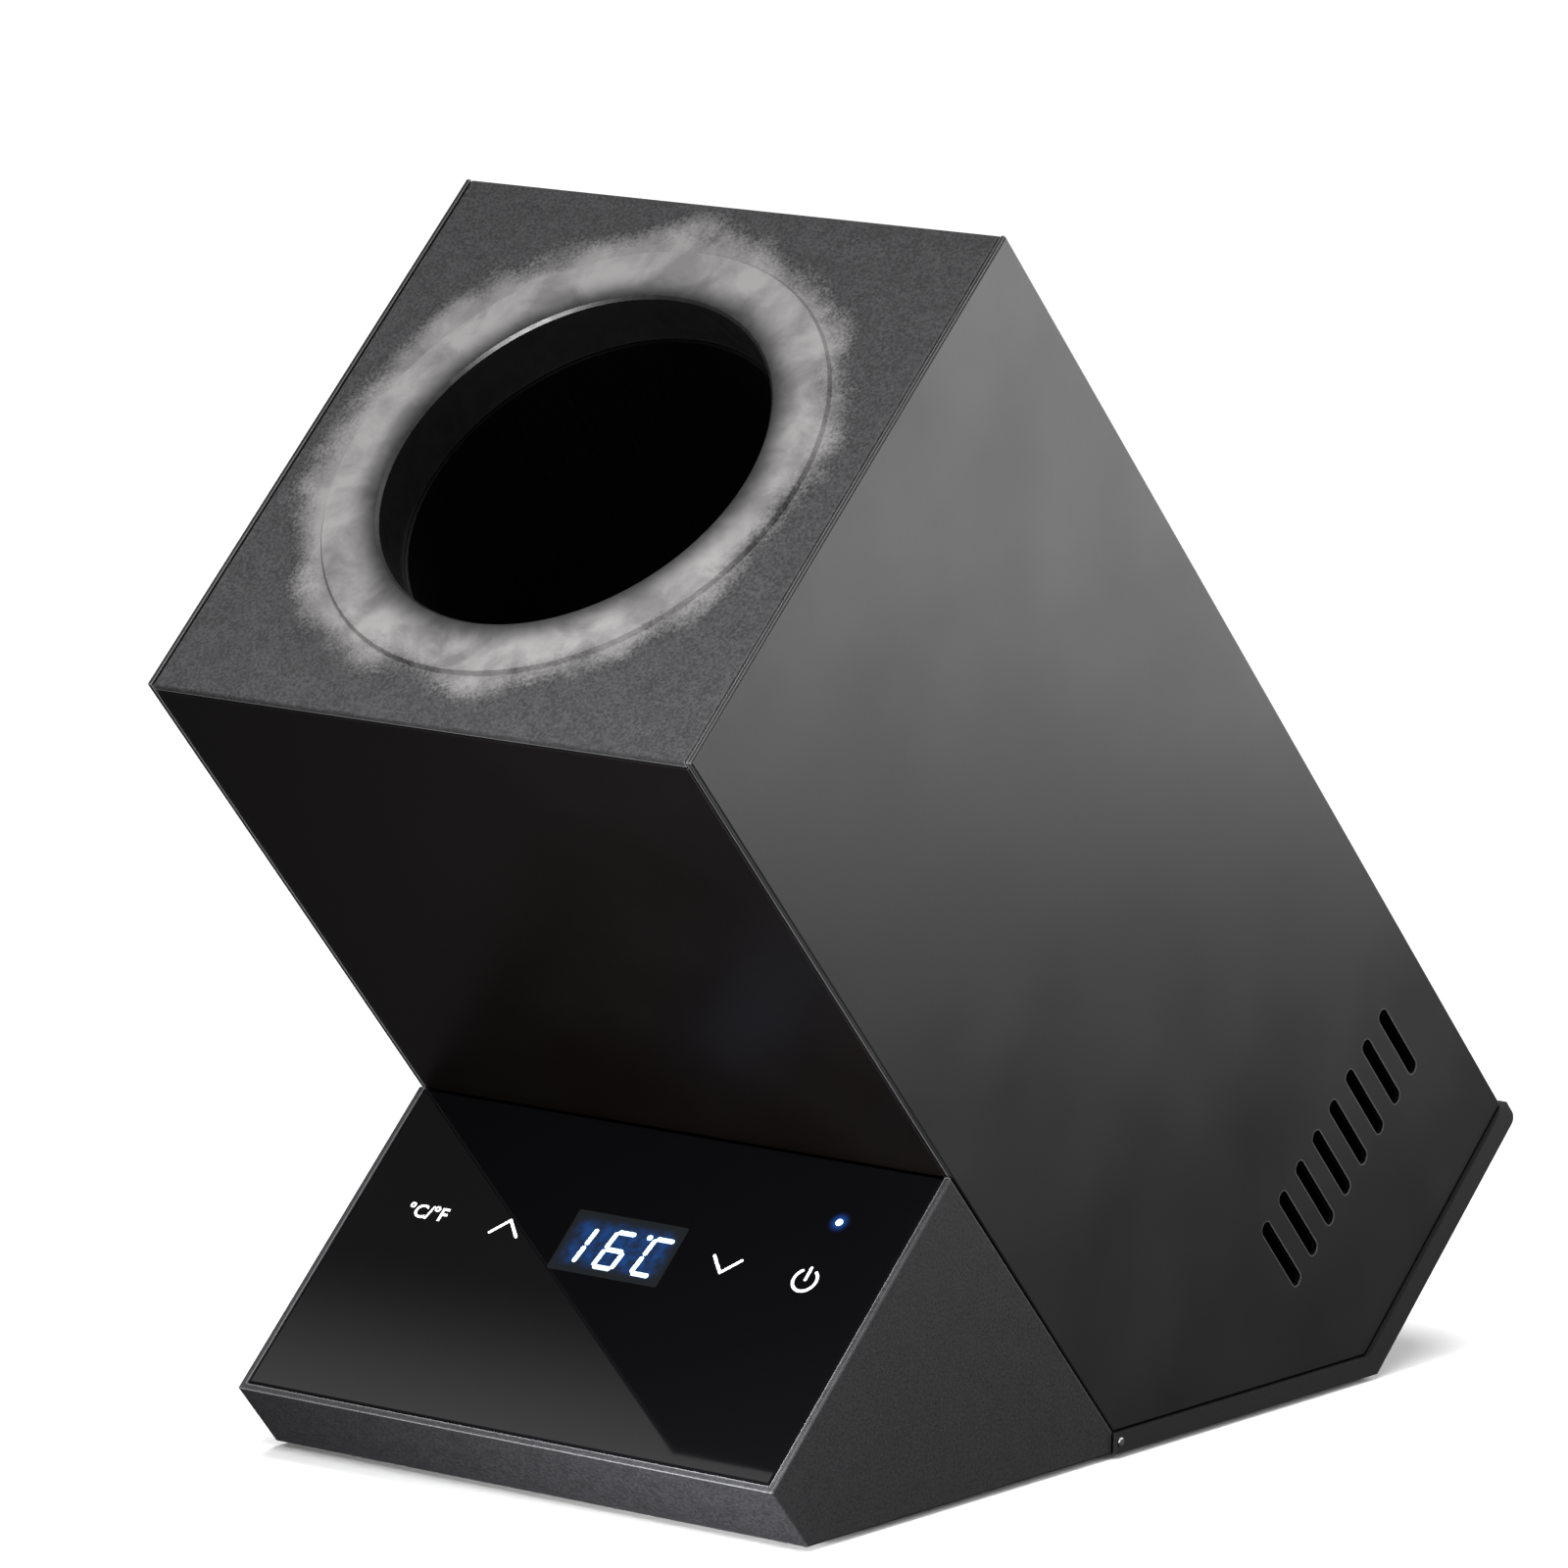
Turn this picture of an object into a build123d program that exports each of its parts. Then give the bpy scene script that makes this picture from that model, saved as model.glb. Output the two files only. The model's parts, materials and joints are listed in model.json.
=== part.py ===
from build123d import *
import os
from math import cos, radians, sin, sqrt

# Single-bottle thermoelectric wine cooler, in millimetres.
# The case is a square tube that leans forward over a wedge-shaped control housing.
# Pieces of the case are drawn upright, in the case's own frame, and then tilted:
#   x across the width, y from the front face to the back face, z along the bottle.
#   The case frame's origin is the crease where the front face meets the base.
# The finished part has +Z up, the front towards -Y, and its origin under the middle
# of its box, on the surface that it stands on.

# ---- overall sizes -------------------------------------------------------------
TILT = 43.0                 # lean of the bottle axis from upright, in degrees
WIDTH = 140.0               # case, across the side panels
DEPTH = 140.0               # case, front face to back face
FRONT_LENGTH = 221.0        # front face, from the crease to the top
TAIL_LENGTH = 65.0          # case below the crease, along the bottle axis
BASE_HEIGHT = 6.0           # lower edge of the side panels above the table
FOOT_PROUD = 1.2            # rubber feet below the base
SEAM = 0.4                  # gap between neighbouring outside pieces
EDGE_ROUND = 0.5            # rounding of visible sheet edges

# ---- sheet and wall thicknesses ------------------------------------------------
SIDE_SHEET = 1.2
TOP_SHEET = 1.5
FRONT_SHEET = 1.5
BACK_SHEET = 1.2
TRAY_WALL = 2.0
HOUSING_WALL = 1.5
FIT_GAP = 0.3               # clearance between inner pieces

# ---- case details --------------------------------------------------------------
TAB_WIDTH = 8.0             # folded tabs inside the side panels
TAB_SHEET = 1.2
SHELF_TAB_INSET = 20.0      # tabs under the divider, from the front and back faces
SLOT_COUNT = 8
SLOT_PITCH = 8.4
SLOT_LENGTH = 20.8
SLOT_WIDTH = 3.4
SLOT_FROM_BACK = 17.0       # middle of the rearmost vent slot, from the back face
SLOT_Z = -21.6
TRAY_PROUD = 1.0            # base tray beyond the side and back panels
TRAY_LIP = 6.0              # height of the tray's end lip, along the bottle axis
TRAY_CORNER = 2.0
TRAY_SCREW_R = 0.6          # small screws in the tray's rim, near the crease
TRAY_SCREW_HEAD = (0.95, 0.4)
TRAY_SCREW_INSET = 1.3
GRILLE_ROWS = 9
GRILLE_PITCH = 6.4
GRILLE_SLOT = (22.0, 3.0)
GRILLE_COLUMN_X = 14.0
GRILLE_FROM_BACK = 9.8      # middle of the rearmost grille slot, from the back face

# ---- control housing -----------------------------------------------------------
PANEL_Z = 88.0              # control panel's face, along the front face from the crease
PANEL_DEPTH = 81.5          # control panel, front to back along its slope
GLASS_THICK = 3.0
GLASS_BEVEL = 0.4
LEDGE = (4.0, 2.0)          # glass ledge, width and thickness
KEY_Y = -30.4               # row of touch keys, from the front face
KEY_XS = (-49.5, -28.0, 28.3, 49.0)
KEY_PAD_R = 4.5
DISPLAY_X = 1.0
DISPLAY_SIZE = (28.7, 15.5)
LED_PLACE = (49.0, -15.1)
LED_R = 1.5
TOUCH_GAP = 3.0             # touch board below the glass
BOARD_THICK = 1.6
TOUCH_INSET = (10.0, 7.75)  # touch board's edges, from the panel's sides and ends
CONTROL_BOARD = (96.0, 56.0)
CONTROL_BOARD_Y = -66.0     # middle of the control board, behind the crease
BOARD_STANDOFF = 4.0
STANDOFF_R = 3.0
BOARD_HOLE_INSET = 5.0
SOCKET_XS = (-15.0, -5.0, 5.0, 15.0)    # cable sockets on the control board
SOCKET = (6.4, 7.0, 7.0)    # width, depth and height
SOCKET_BACK = 25.0          # sockets' rear faces, from the middle of the board
HOUSING_TAB_WIDTH = 15.0    # tabs that the housing is screwed to the front panel by
HOUSING_SCREW_INSET = 12.0  # from the housing's inner wall
HOUSING_SCREW_END = 18.0    # from the crease, and from the panel's level
RIBBON_X = -36.0
RIBBON = (12.0, 0.8)        # width and thickness

# ---- bottle well ---------------------------------------------------------------
WELL_R = 43.0
LINER_WALL = 1.2
LINER_NECK = 12.2           # rim ring's neck, above the liner
WELL_LEDGE_Z = 24.0         # ledge that the bottle stands on
LINER_FLOOR = 1.5
WELL_LEDGE = 6.3            # width of the ledge round the pad
PAD_THICK = 3.8
PAD_RINGS = 4
PAD_RING = (3.0, 1.0)       # width and height of the pad's raised rings
RING_SET_BACK = 0.7         # rim ring's bore outside the liner's bore
RING_NECK_WALL = 2.5
RING_FLANGE_WIDTH = 13.3
RING_FLANGE = 0.9
INSULATION_BOTTOM = 7.0
DIVIDER_THICK = 2.0         # plate under the foam
SENSOR_X = 10.0
SENSOR_R = 2.0
SENSOR_TOP = 40.0
SENSOR_LENGTH = 12.0

# ---- cooling -------------------------------------------------------------------
COLD_BLOCK = (64.0, 44.0, 12.0)
PELTIER = (40.0, 40.0, 3.8)
SINK = (100.0, 84.0, 6.0)   # heat sink base
SINK_SET_BACK = 20.0        # heat sink's middle, behind the bottle axis
FIN_COUNT = 15
FIN_THICK = 1.4
FIN_HEIGHT = 29.5
CLAMP_SCREW_X = 26.5
CLAMP_R = 2.0
CLAMP_HEAD = (3.5, 2.4)
FAN_SIZE = 80.0
FAN_THICK = 18.0
FAN_SET_BACK = 22.0         # fan's axis, behind the bottle axis
FAN_RIM = 1.5               # frame's wall beside its bore
FAN_HOLE_INSET = 4.25
FAN_SCREW_R = 1.5
FAN_STRUT = (4.0, 2.0)      # width and thickness
BUSH_R = 3.0
BUSH_SOCKET_WALL = 1.4
HUB_R = 15.5
HUB_WALL = 1.5
BLADE_GAP = 1.3             # blade tips to the bore
BLADE_COUNT = 7
BLADE_THICK = 1.3
BLADE_PITCH = 52.0          # degrees
SHAFT_R = 1.5
SHAFT_CLEARANCE = 0.05

# ---- power inlet, screws and feet ----------------------------------------------
JACK_X = -50.0
JACK_Z = -50.0
JACK_THREAD_R = 4.0
JACK_FLANGE_R = 6.0
JACK_FLANGE = 1.6           # socket's face, beyond the back panel
JACK_LENGTH = 18.0
JACK_BORE = (2.85, 12.0)    # radius and depth of the socket
JACK_PIN_R = 1.0
JACK_NUT = (6.2, 2.5)       # radius over its corners, and thickness
SCREW_R = 1.25
SCREW_HEAD = (2.75, 1.7)    # radius and height of a pan head
SCREW_GAP = 0.15
BACK_SCREW_INSETS = (21.0, 25.0)        # from the case's lower end and from its top
BACK_SCREW_MIDDLE_Z = 74.0
FOOT_R = 7.0
FOOT_SIDE_INSET = 14.0      # from the case's sides
FOOT_INSET = 12.0           # from the housing's front edge and the tray's rear edge

# ---- cables --------------------------------------------------------------------
GROMMET_Z = 9.0             # cable grommet in the front panel, hidden by the housing
GROMMET_HOLE = (26.0, 9.0)
GROMMET_LIP = 1.2
CABLE_PASSAGE = (22.0, 5.0)
PELTIER_LEAD_X = 5.5
CABLE_ROOM = 6.0            # beside the grommet and behind the sensor

# ---- places worked out from the sizes ------------------------------------------
S, C = sin(radians(TILT)), cos(radians(TILT))
HALF = WIDTH / 2
AXIS_Y = DEPTH / 2                          # bottle axis
CASE_END = -TAIL_LENGTH                     # lower end of the case
TRAY_END = CASE_END - TRAY_LIP              # outside of the tray's end wall
INNER_X = HALF - SIDE_SHEET                 # inside of the side panels
TOP_UNDER = FRONT_LENGTH - TOP_SHEET
RING_BORE_R = WELL_R + RING_SET_BACK
RING_NECK_R = RING_BORE_R + RING_NECK_WALL
RING_FLANGE_R = RING_BORE_R + RING_FLANGE_WIDTH
LINER_R = WELL_R + LINER_WALL
LINER_TOP = FRONT_LENGTH - LINER_NECK
PAD_R = WELL_R - WELL_LEDGE
RECESS_R = PAD_R + 0.2
RECESS_FLOOR_Z = WELL_LEDGE_Z - PAD_THICK - 0.2
LINER_BOTTOM = RECESS_FLOOR_Z - LINER_FLOOR
BLOCK_BOTTOM = LINER_BOTTOM - COLD_BLOCK[2]
SINK_TOP = BLOCK_BOTTOM - PELTIER[2]
FIN_ROOT = SINK_TOP - SINK[2]
FAN_TOP = FIN_ROOT - FIN_HEIGHT
FAN_BOTTOM = FAN_TOP - FAN_THICK
SINK_Y = AXIS_Y + SINK_SET_BACK
FAN_Y = AXIS_Y + FAN_SET_BACK
FAN_BORE_R = FAN_SIZE / 2 - FAN_RIM
BLADE_TIP_R = FAN_BORE_R - BLADE_GAP
GLASS_UNDER = PANEL_Z - GLASS_THICK
TOUCH_TOP = GLASS_UNDER - TOUCH_GAP
HOUSING_INNER_X = HALF - HOUSING_WALL
FOOT_X = HALF - FOOT_SIDE_INSET
BACK_SCREW_ZS = (
    CASE_END + BACK_SCREW_INSETS[0],
    BACK_SCREW_MIDDLE_Z,
    FRONT_LENGTH - BACK_SCREW_INSETS[1],
)
CREASE_GAP = SEAM / 2                       # each side of the crease


def in_case(forward, height):
    """The case-frame (y, z) of a point behind the crease and above the table."""
    up = height - BASE_HEIGHT
    return (forward * C + up * S, -forward * S + up * C)


def level_y(z, height):
    """Where a level plane at a height above the table crosses z in the case frame."""
    return (height - BASE_HEIGHT - z * C) / S


def level_z(y, height):
    """The same plane's z at a given y."""
    return (height - BASE_HEIGHT - y * S) / C


REAR_Y = (DEPTH + TRAY_PROUD - TRAY_CORNER) * C - (TRAY_END + TRAY_CORNER) * S + TRAY_CORNER
MIDDLE_Y = (REAR_Y - FRONT_LENGTH * S) / 2  # middle of the part's box, from the crease


def tilted(shape):
    """Carries a shape from the case frame to the finished part's frame."""
    return Pos(0, -MIDDLE_Y, BASE_HEIGHT) * Rot(TILT, 0, 0) * shape


def standing(shape):
    """Carries a shape drawn behind the crease and above the table."""
    return Pos(0, -MIDDLE_Y, 0) * shape


def side_prism(outline, x_from, x_to):
    """A prism across the width with its outline in the side view."""
    face = make_face(Polyline(*[(x_from, y, z) for y, z in outline], close=True))
    return extrude(face, amount=x_to - x_from, dir=(1, 0, 0))


def box_between(low, high):
    """A box between two opposite corners, in either order along each axis."""
    size = [abs(b - a) for a, b in zip(low, high)]
    middle = [(a + b) / 2 for a, b in zip(low, high)]
    return Pos(*middle) * Box(*size)


def rod(radius, z_from, z_to, x=0.0, y=0.0):
    """A round rod along z."""
    return Pos(x, y, (z_from + z_to) / 2) * Cylinder(radius, z_to - z_from)


def rod_y(radius, y_from, y_to, x=0.0, z=0.0):
    """A round rod along y."""
    return Pos(x, (y_from + y_to) / 2, z) * Rot(90, 0, 0) * Cylinder(radius, y_to - y_from)


def rod_x(radius, x_from, x_to, y=0.0, z=0.0):
    """A round rod along x."""
    return Pos((x_from + x_to) / 2, y, z) * Rot(0, 90, 0) * Cylinder(radius, x_to - x_from)


def turned(profile, y=AXIS_Y):
    """A turned piece about an axis along z, from its (radius, z) outline."""
    face = make_face(Polyline(*[(r, 0, z) for r, z in profile], close=True))
    return Pos(0, y, 0) * revolve(face, Axis.Z)


def group(solids):
    return Compound(children=list(solids))


# ---- outside of the case -------------------------------------------------------
def side_outline():
    """Side panel's five-sided outline: the tilted case cut off level at the base."""
    return [
        (0, FRONT_LENGTH),
        (DEPTH, FRONT_LENGTH),
        (DEPTH, CASE_END),
        (level_y(CASE_END, BASE_HEIGHT), CASE_END),
        (0, 0),
    ]


def side_tabs():
    """Folded tabs inside the side panel: front, back, top and under the divider."""
    x_from = INNER_X - TAB_WIDTH
    inset = TAB_WIDTH / 2
    top, bottom = TOP_UNDER - inset, INSULATION_BOTTOM - DIVIDER_THICK
    back = DEPTH - BACK_SHEET
    return [
        box_between((x_from, FRONT_SHEET, TAB_WIDTH), (INNER_X, FRONT_SHEET + TAB_SHEET, top)),
        box_between((x_from, back - TAB_SHEET, CASE_END + inset), (INNER_X, back, top)),
        box_between((x_from, inset, TOP_UNDER - TAB_SHEET), (INNER_X, DEPTH - inset, TOP_UNDER)),
        box_between(
            (x_from, SHELF_TAB_INSET, bottom - TAB_SHEET), (INNER_X, DEPTH - SHELF_TAB_INSET, bottom)
        ),
    ]


def side_panel(side):
    """Steel side panel with rounded edges, vent slots and tabs; side is 1 or -1."""
    plate = side_prism(side_outline(), INNER_X, HALF)
    plate = fillet(plate.faces().sort_by(Axis.X)[-1].edges(), EDGE_ROUND)
    panel = plate + side_tabs()
    sketch = Plane.YZ * Rot(0, 0, 90) * SlotOverall(SLOT_LENGTH, SLOT_WIDTH)
    slot = extrude(sketch, 3 * SIDE_SHEET, both=True)
    for i in range(SLOT_COUNT):
        panel -= Pos(HALF, DEPTH - SLOT_FROM_BACK - i * SLOT_PITCH, SLOT_Z) * slot
    for z in BACK_SCREW_ZS:
        panel -= rod_y(SCREW_R + SCREW_GAP, DEPTH - 5, DEPTH, screw_x(), z)
    return panel if side > 0 else mirror(panel, Plane.YZ)


def screw_x():
    return INNER_X - TAB_WIDTH / 2


def case_sheet(low, high, out):
    """A flat panel between the side panels, with its outside edges rounded."""
    sheet = box_between(low, high)
    face = sheet.faces().sort_by(out)[-1]
    return fillet(face.edges(), EDGE_ROUND)


def top_plate():
    x = INNER_X - SEAM
    plate = case_sheet((-x, 0, TOP_UNDER), (x, DEPTH, FRONT_LENGTH), Axis.Z)
    return plate - rod(RING_NECK_R + FIT_GAP, TOP_UNDER - 1, FRONT_LENGTH + 1, 0, AXIS_Y)


def oblong(size, y_from, y_to, z):
    """A bar along y with rounded ends in section."""
    bar = extrude(Plane.XZ * SlotOverall(*size), -(y_to - y_from))
    return Pos(0, y_from, z) * bar


def front_panel():
    x = INNER_X - SEAM
    panel = case_sheet((-x, 0, SEAM), (x, FRONT_SHEET, TOP_UNDER - SEAM), -Axis.Y)
    for x, z in housing_screw_places():
        panel -= rod_y(SCREW_R + 2 * SCREW_GAP, -1, FRONT_SHEET + 1, x, z)
    return panel - oblong(GROMMET_HOLE, -1, FRONT_SHEET + 1, GROMMET_Z)


def housing_screw_places():
    x = HOUSING_INNER_X - HOUSING_SCREW_INSET
    return [(i, z) for i in (-x, x) for z in (HOUSING_SCREW_END, PANEL_Z - HOUSING_SCREW_END)]


def back_panel():
    x = INNER_X - SEAM
    panel = case_sheet((-x, DEPTH - BACK_SHEET, CASE_END), (x, DEPTH, TOP_UNDER - SEAM), Axis.Y)
    panel -= rod_y(JACK_THREAD_R + SCREW_GAP, DEPTH - 5, DEPTH + 5, JACK_X, JACK_Z)
    for x in (-screw_x(), screw_x()):
        for z in BACK_SCREW_ZS:
            panel -= rod_y(SCREW_R + 2 * SCREW_GAP, DEPTH - 5, DEPTH + 5, x, z)
    return panel


def pan_screw(length):
    """A pan-head screw along z, its head's seat at z = 0 and its shank below."""
    radius, height = SCREW_HEAD
    head = rod(radius, 0, height)
    head = fillet(head.edges().sort_by(Axis.Z)[-1:], height * 0.6)
    slot = Box(2.6, 0.7, 1.4) + Box(0.7, 2.6, 1.4)
    return head - Pos(0, 0, height) * slot + rod(SCREW_R, -length, 0)


def back_screws():
    seat = Rot(-90, 0, 0) * pan_screw(BACK_SHEET + TAB_SHEET + FIT_GAP / 2)
    places = [(x, z) for x in (-screw_x(), screw_x()) for z in BACK_SCREW_ZS]
    return group(Pos(x, DEPTH, z) * seat for x, z in places)


def tray_rim_height():
    return BASE_HEIGHT - SEAM


def base_tray():
    """Moulded tray under the case: a level floor, a rear end wall and a rim all round."""
    back = DEPTH + TRAY_PROUD
    rim_z = CASE_END - SEAM
    outside = [
        in_case(CREASE_GAP, FOOT_PROUD),
        (level_y(TRAY_END, FOOT_PROUD), TRAY_END),
        (back, TRAY_END),
        (back, rim_z),
        (level_y(rim_z, tray_rim_height()), rim_z),
        in_case(CREASE_GAP, tray_rim_height()),
    ]
    inner_end = TRAY_END + TRAY_WALL
    above = BASE_HEIGHT + 40
    inside = [
        in_case(CREASE_GAP + TRAY_WALL, FOOT_PROUD + TRAY_WALL),
        (level_y(inner_end, FOOT_PROUD + TRAY_WALL), inner_end),
        (back - TRAY_WALL, inner_end),
        (back - TRAY_WALL, 0),
        in_case(CREASE_GAP + TRAY_WALL, above),
    ]
    half = HALF + TRAY_PROUD
    tray = side_prism(outside, -half, half)
    rear_corner = tray.edges().filter_by(Axis.X).sort_by_distance((0, back, TRAY_END))[0]
    tray = fillet(rear_corner, TRAY_CORNER)
    tray -= side_prism(inside, TRAY_WALL - half, half - TRAY_WALL)
    slot = extrude(SlotOverall(*GRILLE_SLOT), 2 * TRAY_WALL, both=True)
    for i in range(GRILLE_ROWS):
        for x in (-GRILLE_COLUMN_X, GRILLE_COLUMN_X):
            tray -= Pos(x, DEPTH - GRILLE_FROM_BACK - i * GRILLE_PITCH, TRAY_END) * slot
    y, z = side_screw_place()
    return tray - rod_x(TRAY_SCREW_R + SCREW_GAP, -half - 1, half + 1, y, z)


def side_screw_place():
    """The small screw in the tray's rim, just behind the crease."""
    return in_case(CREASE_GAP + TRAY_SCREW_INSET, (FOOT_PROUD + tray_rim_height()) / 2 + 0.3)


def side_screws():
    """One small domed screw in each side of the tray's rim, reaching through its wall."""
    half = HALF + TRAY_PROUD
    radius, height = TRAY_SCREW_HEAD
    y, z = side_screw_place()
    head = rod_x(radius, half, half + height, y, z)
    head = fillet(head.edges().sort_by(Axis.X)[-1:], height * 0.8)
    screw = head + rod_x(TRAY_SCREW_R, half - TRAY_WALL + 0.2, half, y, z)
    return group([screw, mirror(screw, Plane.YZ)])


def feet():
    """Four rubber feet: two under the control housing and two under the tray."""
    front = -(PANEL_DEPTH * C + level_z(-PANEL_DEPTH, FOOT_PROUD) * S)
    rear = level_y(TRAY_END, FOOT_PROUD) * C - TRAY_END * S
    spots = [(x, y) for x in (-FOOT_X, FOOT_X) for y in (front + FOOT_INSET, rear - FOOT_INSET)]
    foot = rod(FOOT_R, 0, FOOT_PROUD)
    foot = fillet(foot.edges().sort_by(Axis.Z)[:1], FOOT_PROUD * 0.4)
    return group(Pos(x, y, 0) * foot for x, y in spots)


# ---- control housing -----------------------------------------------------------
def control_housing():
    """Sheet wedge under the leaning case: two sides, a front lip, a floor and ledges."""
    front, rear = -PANEL_DEPTH, -SEAM
    outside = [
        (rear, PANEL_Z),
        (front, PANEL_Z),
        (front, level_z(front, FOOT_PROUD)),
        in_case(-CREASE_GAP, FOOT_PROUD),
        in_case(-CREASE_GAP, BASE_HEIGHT),
    ]
    lip = front + HOUSING_WALL
    floor = FOOT_PROUD + HOUSING_WALL
    inside = [
        (rear + 1, PANEL_Z + 1),
        (lip, PANEL_Z + 1),
        (lip, level_z(lip, floor)),
        in_case(-CREASE_GAP + 1, floor),
        (rear + 1, 0),
    ]
    shell = side_prism(outside, -HALF, HALF)
    for end in (-1, 1):
        rim = shell.faces().filter_by(Axis.X).sort_by(Axis.X)[0 if end < 0 else -1].edges()
        shell = fillet(rim, EDGE_ROUND)
    shell -= side_prism(inside, -HOUSING_INNER_X, HOUSING_INNER_X)
    width, thick = LEDGE
    for side in (-1, 1):
        wall = side * HOUSING_INNER_X
        shell += box_between((wall, lip, GLASS_UNDER - thick), (wall - side * width, -6, GLASS_UNDER))
        tab_end = wall - side * HOUSING_TAB_WIDTH
        shell += box_between((wall, -TAB_SHEET, TAB_WIDTH), (tab_end, 0, GLASS_UNDER - thick))
    for x, z in housing_screw_places():
        shell -= rod_y(SCREW_R + SCREW_GAP, -TAB_SHEET - 1, 0.5, x, z)
    return shell + standoffs()


def housing_screws():
    """Screws from inside the case, through the front panel into the housing's tabs."""
    screw = Rot(-90, 0, 0) * pan_screw(FRONT_SHEET + TAB_SHEET + 1)
    return group(Pos(x, FRONT_SHEET, z) * screw for x, z in housing_screw_places())


def board_corners():
    """The control board's four screw places."""
    x, y = [size / 2 - BOARD_HOLE_INSET for size in CONTROL_BOARD]
    return [(i, CONTROL_BOARD_Y + j) for i in (-x, x) for j in (-y, y)]


def level_in_case(shape):
    """Turns a shape drawn level, above the table behind the crease, into the case frame."""
    return Rot(-TILT, 0, 0) * Pos(0, 0, -BASE_HEIGHT) * shape


def standoffs():
    floor = FOOT_PROUD + HOUSING_WALL
    post = rod(STANDOFF_R, floor - 0.5, board_bottom())
    post -= rod(SCREW_R + SCREW_GAP, floor - 0.2, board_bottom() + 1)
    return [level_in_case(Pos(x, y, 0) * post) for x, y in board_corners()]


def control_glass():
    """Black glass of the touch panel, lying on the housing's ledges."""
    x = HOUSING_INNER_X - SEAM
    glass = box_between(
        (-x, -PANEL_DEPTH + HOUSING_WALL + SEAM, GLASS_UNDER), (x, -SEAM - 0.3, PANEL_Z)
    )
    return chamfer(glass.faces().sort_by(Axis.Z)[-1].edges(), GLASS_BEVEL)


def touch_board():
    """Circuit board under the glass, which carries the keys, the display and the light."""
    x = HALF - TOUCH_INSET[0]
    front, rear = TOUCH_INSET[1] - PANEL_DEPTH, -TOUCH_INSET[1]
    return box_between((-x, front, TOUCH_TOP - BOARD_THICK), (x, rear, TOUCH_TOP))


def touch_pads():
    """Springy pads that carry each touch key's charge from the board to the glass."""
    return group(rod(KEY_PAD_R, TOUCH_TOP, GLASS_UNDER, x, KEY_Y) for x in KEY_XS)


def display_module():
    """Two-digit display between the board and the glass, with its window recessed."""
    x, y = DISPLAY_SIZE[0] / 2, DISPLAY_SIZE[1] / 2
    body = box_between(
        (DISPLAY_X - x, KEY_Y - y, TOUCH_TOP), (DISPLAY_X + x, KEY_Y + y, GLASS_UNDER)
    )
    window = box_between(
        (DISPLAY_X - x + 1.5, KEY_Y - y + 1.5, GLASS_UNDER - 0.4),
        (DISPLAY_X + x - 1.5, KEY_Y + y - 1.5, GLASS_UNDER + 1),
    )
    return body - window


def status_led():
    x, y = LED_PLACE
    lens = rod(LED_R, TOUCH_TOP + 1.0, GLASS_UNDER, x, y)
    return lens + box_between((x - 2, y - 1.5, TOUCH_TOP), (x + 2, y + 1.5, TOUCH_TOP + 1.0))


def board_bottom():
    return FOOT_PROUD + HOUSING_WALL + BOARD_STANDOFF


def board_top():
    return board_bottom() + BOARD_THICK


def control_board():
    """Power and control board, level on four posts in the housing's floor."""
    width, depth = CONTROL_BOARD
    board = Pos(0, CONTROL_BOARD_Y, board_bottom() + BOARD_THICK / 2) * Box(width, depth, BOARD_THICK)
    for x, y in board_corners():
        board -= rod(SCREW_R + 2 * SCREW_GAP, 0, board_top() + 1, x, y)
    return board


def board_screws():
    length = BOARD_THICK + BOARD_STANDOFF - 0.5
    return group(Pos(x, y, board_top()) * pan_screw(length) for x, y in board_corners())


def board_parts():
    """What stands on the control board: chip, coil, capacitors, cooled transistor, sockets."""
    top = board_top()
    y = CONTROL_BOARD_Y
    chip = box_between((-30, y - 8, top), (-18, y + 2, top + 2))
    coil = rod(8.0, top, top + 11, 8, y + 2) - rod(3.0, top + 4, top + 12, 8, y + 2)
    caps = [rod(4.0, top, top + 12, x, y - 12) for x in (24, 34)]
    cooler = box_between((-8, y - 22, top), (12, y - 19, top + 14))
    for x in (-8, -2, 4, 10):
        cooler += box_between((x, y - 19.5, top), (x + 2, y - 14, top + 14))
    width, depth, height = SOCKET
    back = y + SOCKET_BACK
    low, high = (-width / 2, back - depth, top), (width / 2, back, top + height)
    sockets = [Pos(x, 0, 0) * box_between(low, high) for x in SOCKET_XS]
    return group([chip, coil, *caps, cooler, *sockets])


# ---- bottle well ---------------------------------------------------------------
def rim_ring():
    """Trim ring: a thin flange on the top plate and a neck that meets the liner."""
    top = FRONT_LENGTH + RING_FLANGE
    bevel = RING_FLANGE * 0.7
    return turned([
        (RING_BORE_R, LINER_TOP + FIT_GAP),
        (RING_NECK_R, LINER_TOP + FIT_GAP),
        (RING_NECK_R, FRONT_LENGTH),
        (RING_FLANGE_R, FRONT_LENGTH),
        (RING_FLANGE_R - bevel, top),
        (RING_BORE_R + bevel, top),
        (RING_BORE_R, top - bevel),
    ])


def bottle_liner():
    """Aluminium cup that holds the bottle, with a shallow recess in its floor."""
    ledge_under = WELL_LEDGE_Z - LINER_FLOOR
    return turned([
        (WELL_R, LINER_TOP),
        (LINER_R, LINER_TOP),
        (LINER_R, ledge_under),
        (RECESS_R + LINER_FLOOR, ledge_under),
        (RECESS_R + LINER_FLOOR, LINER_BOTTOM),
        (0, LINER_BOTTOM),
        (0, RECESS_FLOOR_Z),
        (RECESS_R, RECESS_FLOOR_Z),
        (RECESS_R, WELL_LEDGE_Z),
        (WELL_R, WELL_LEDGE_Z),
    ])


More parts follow.
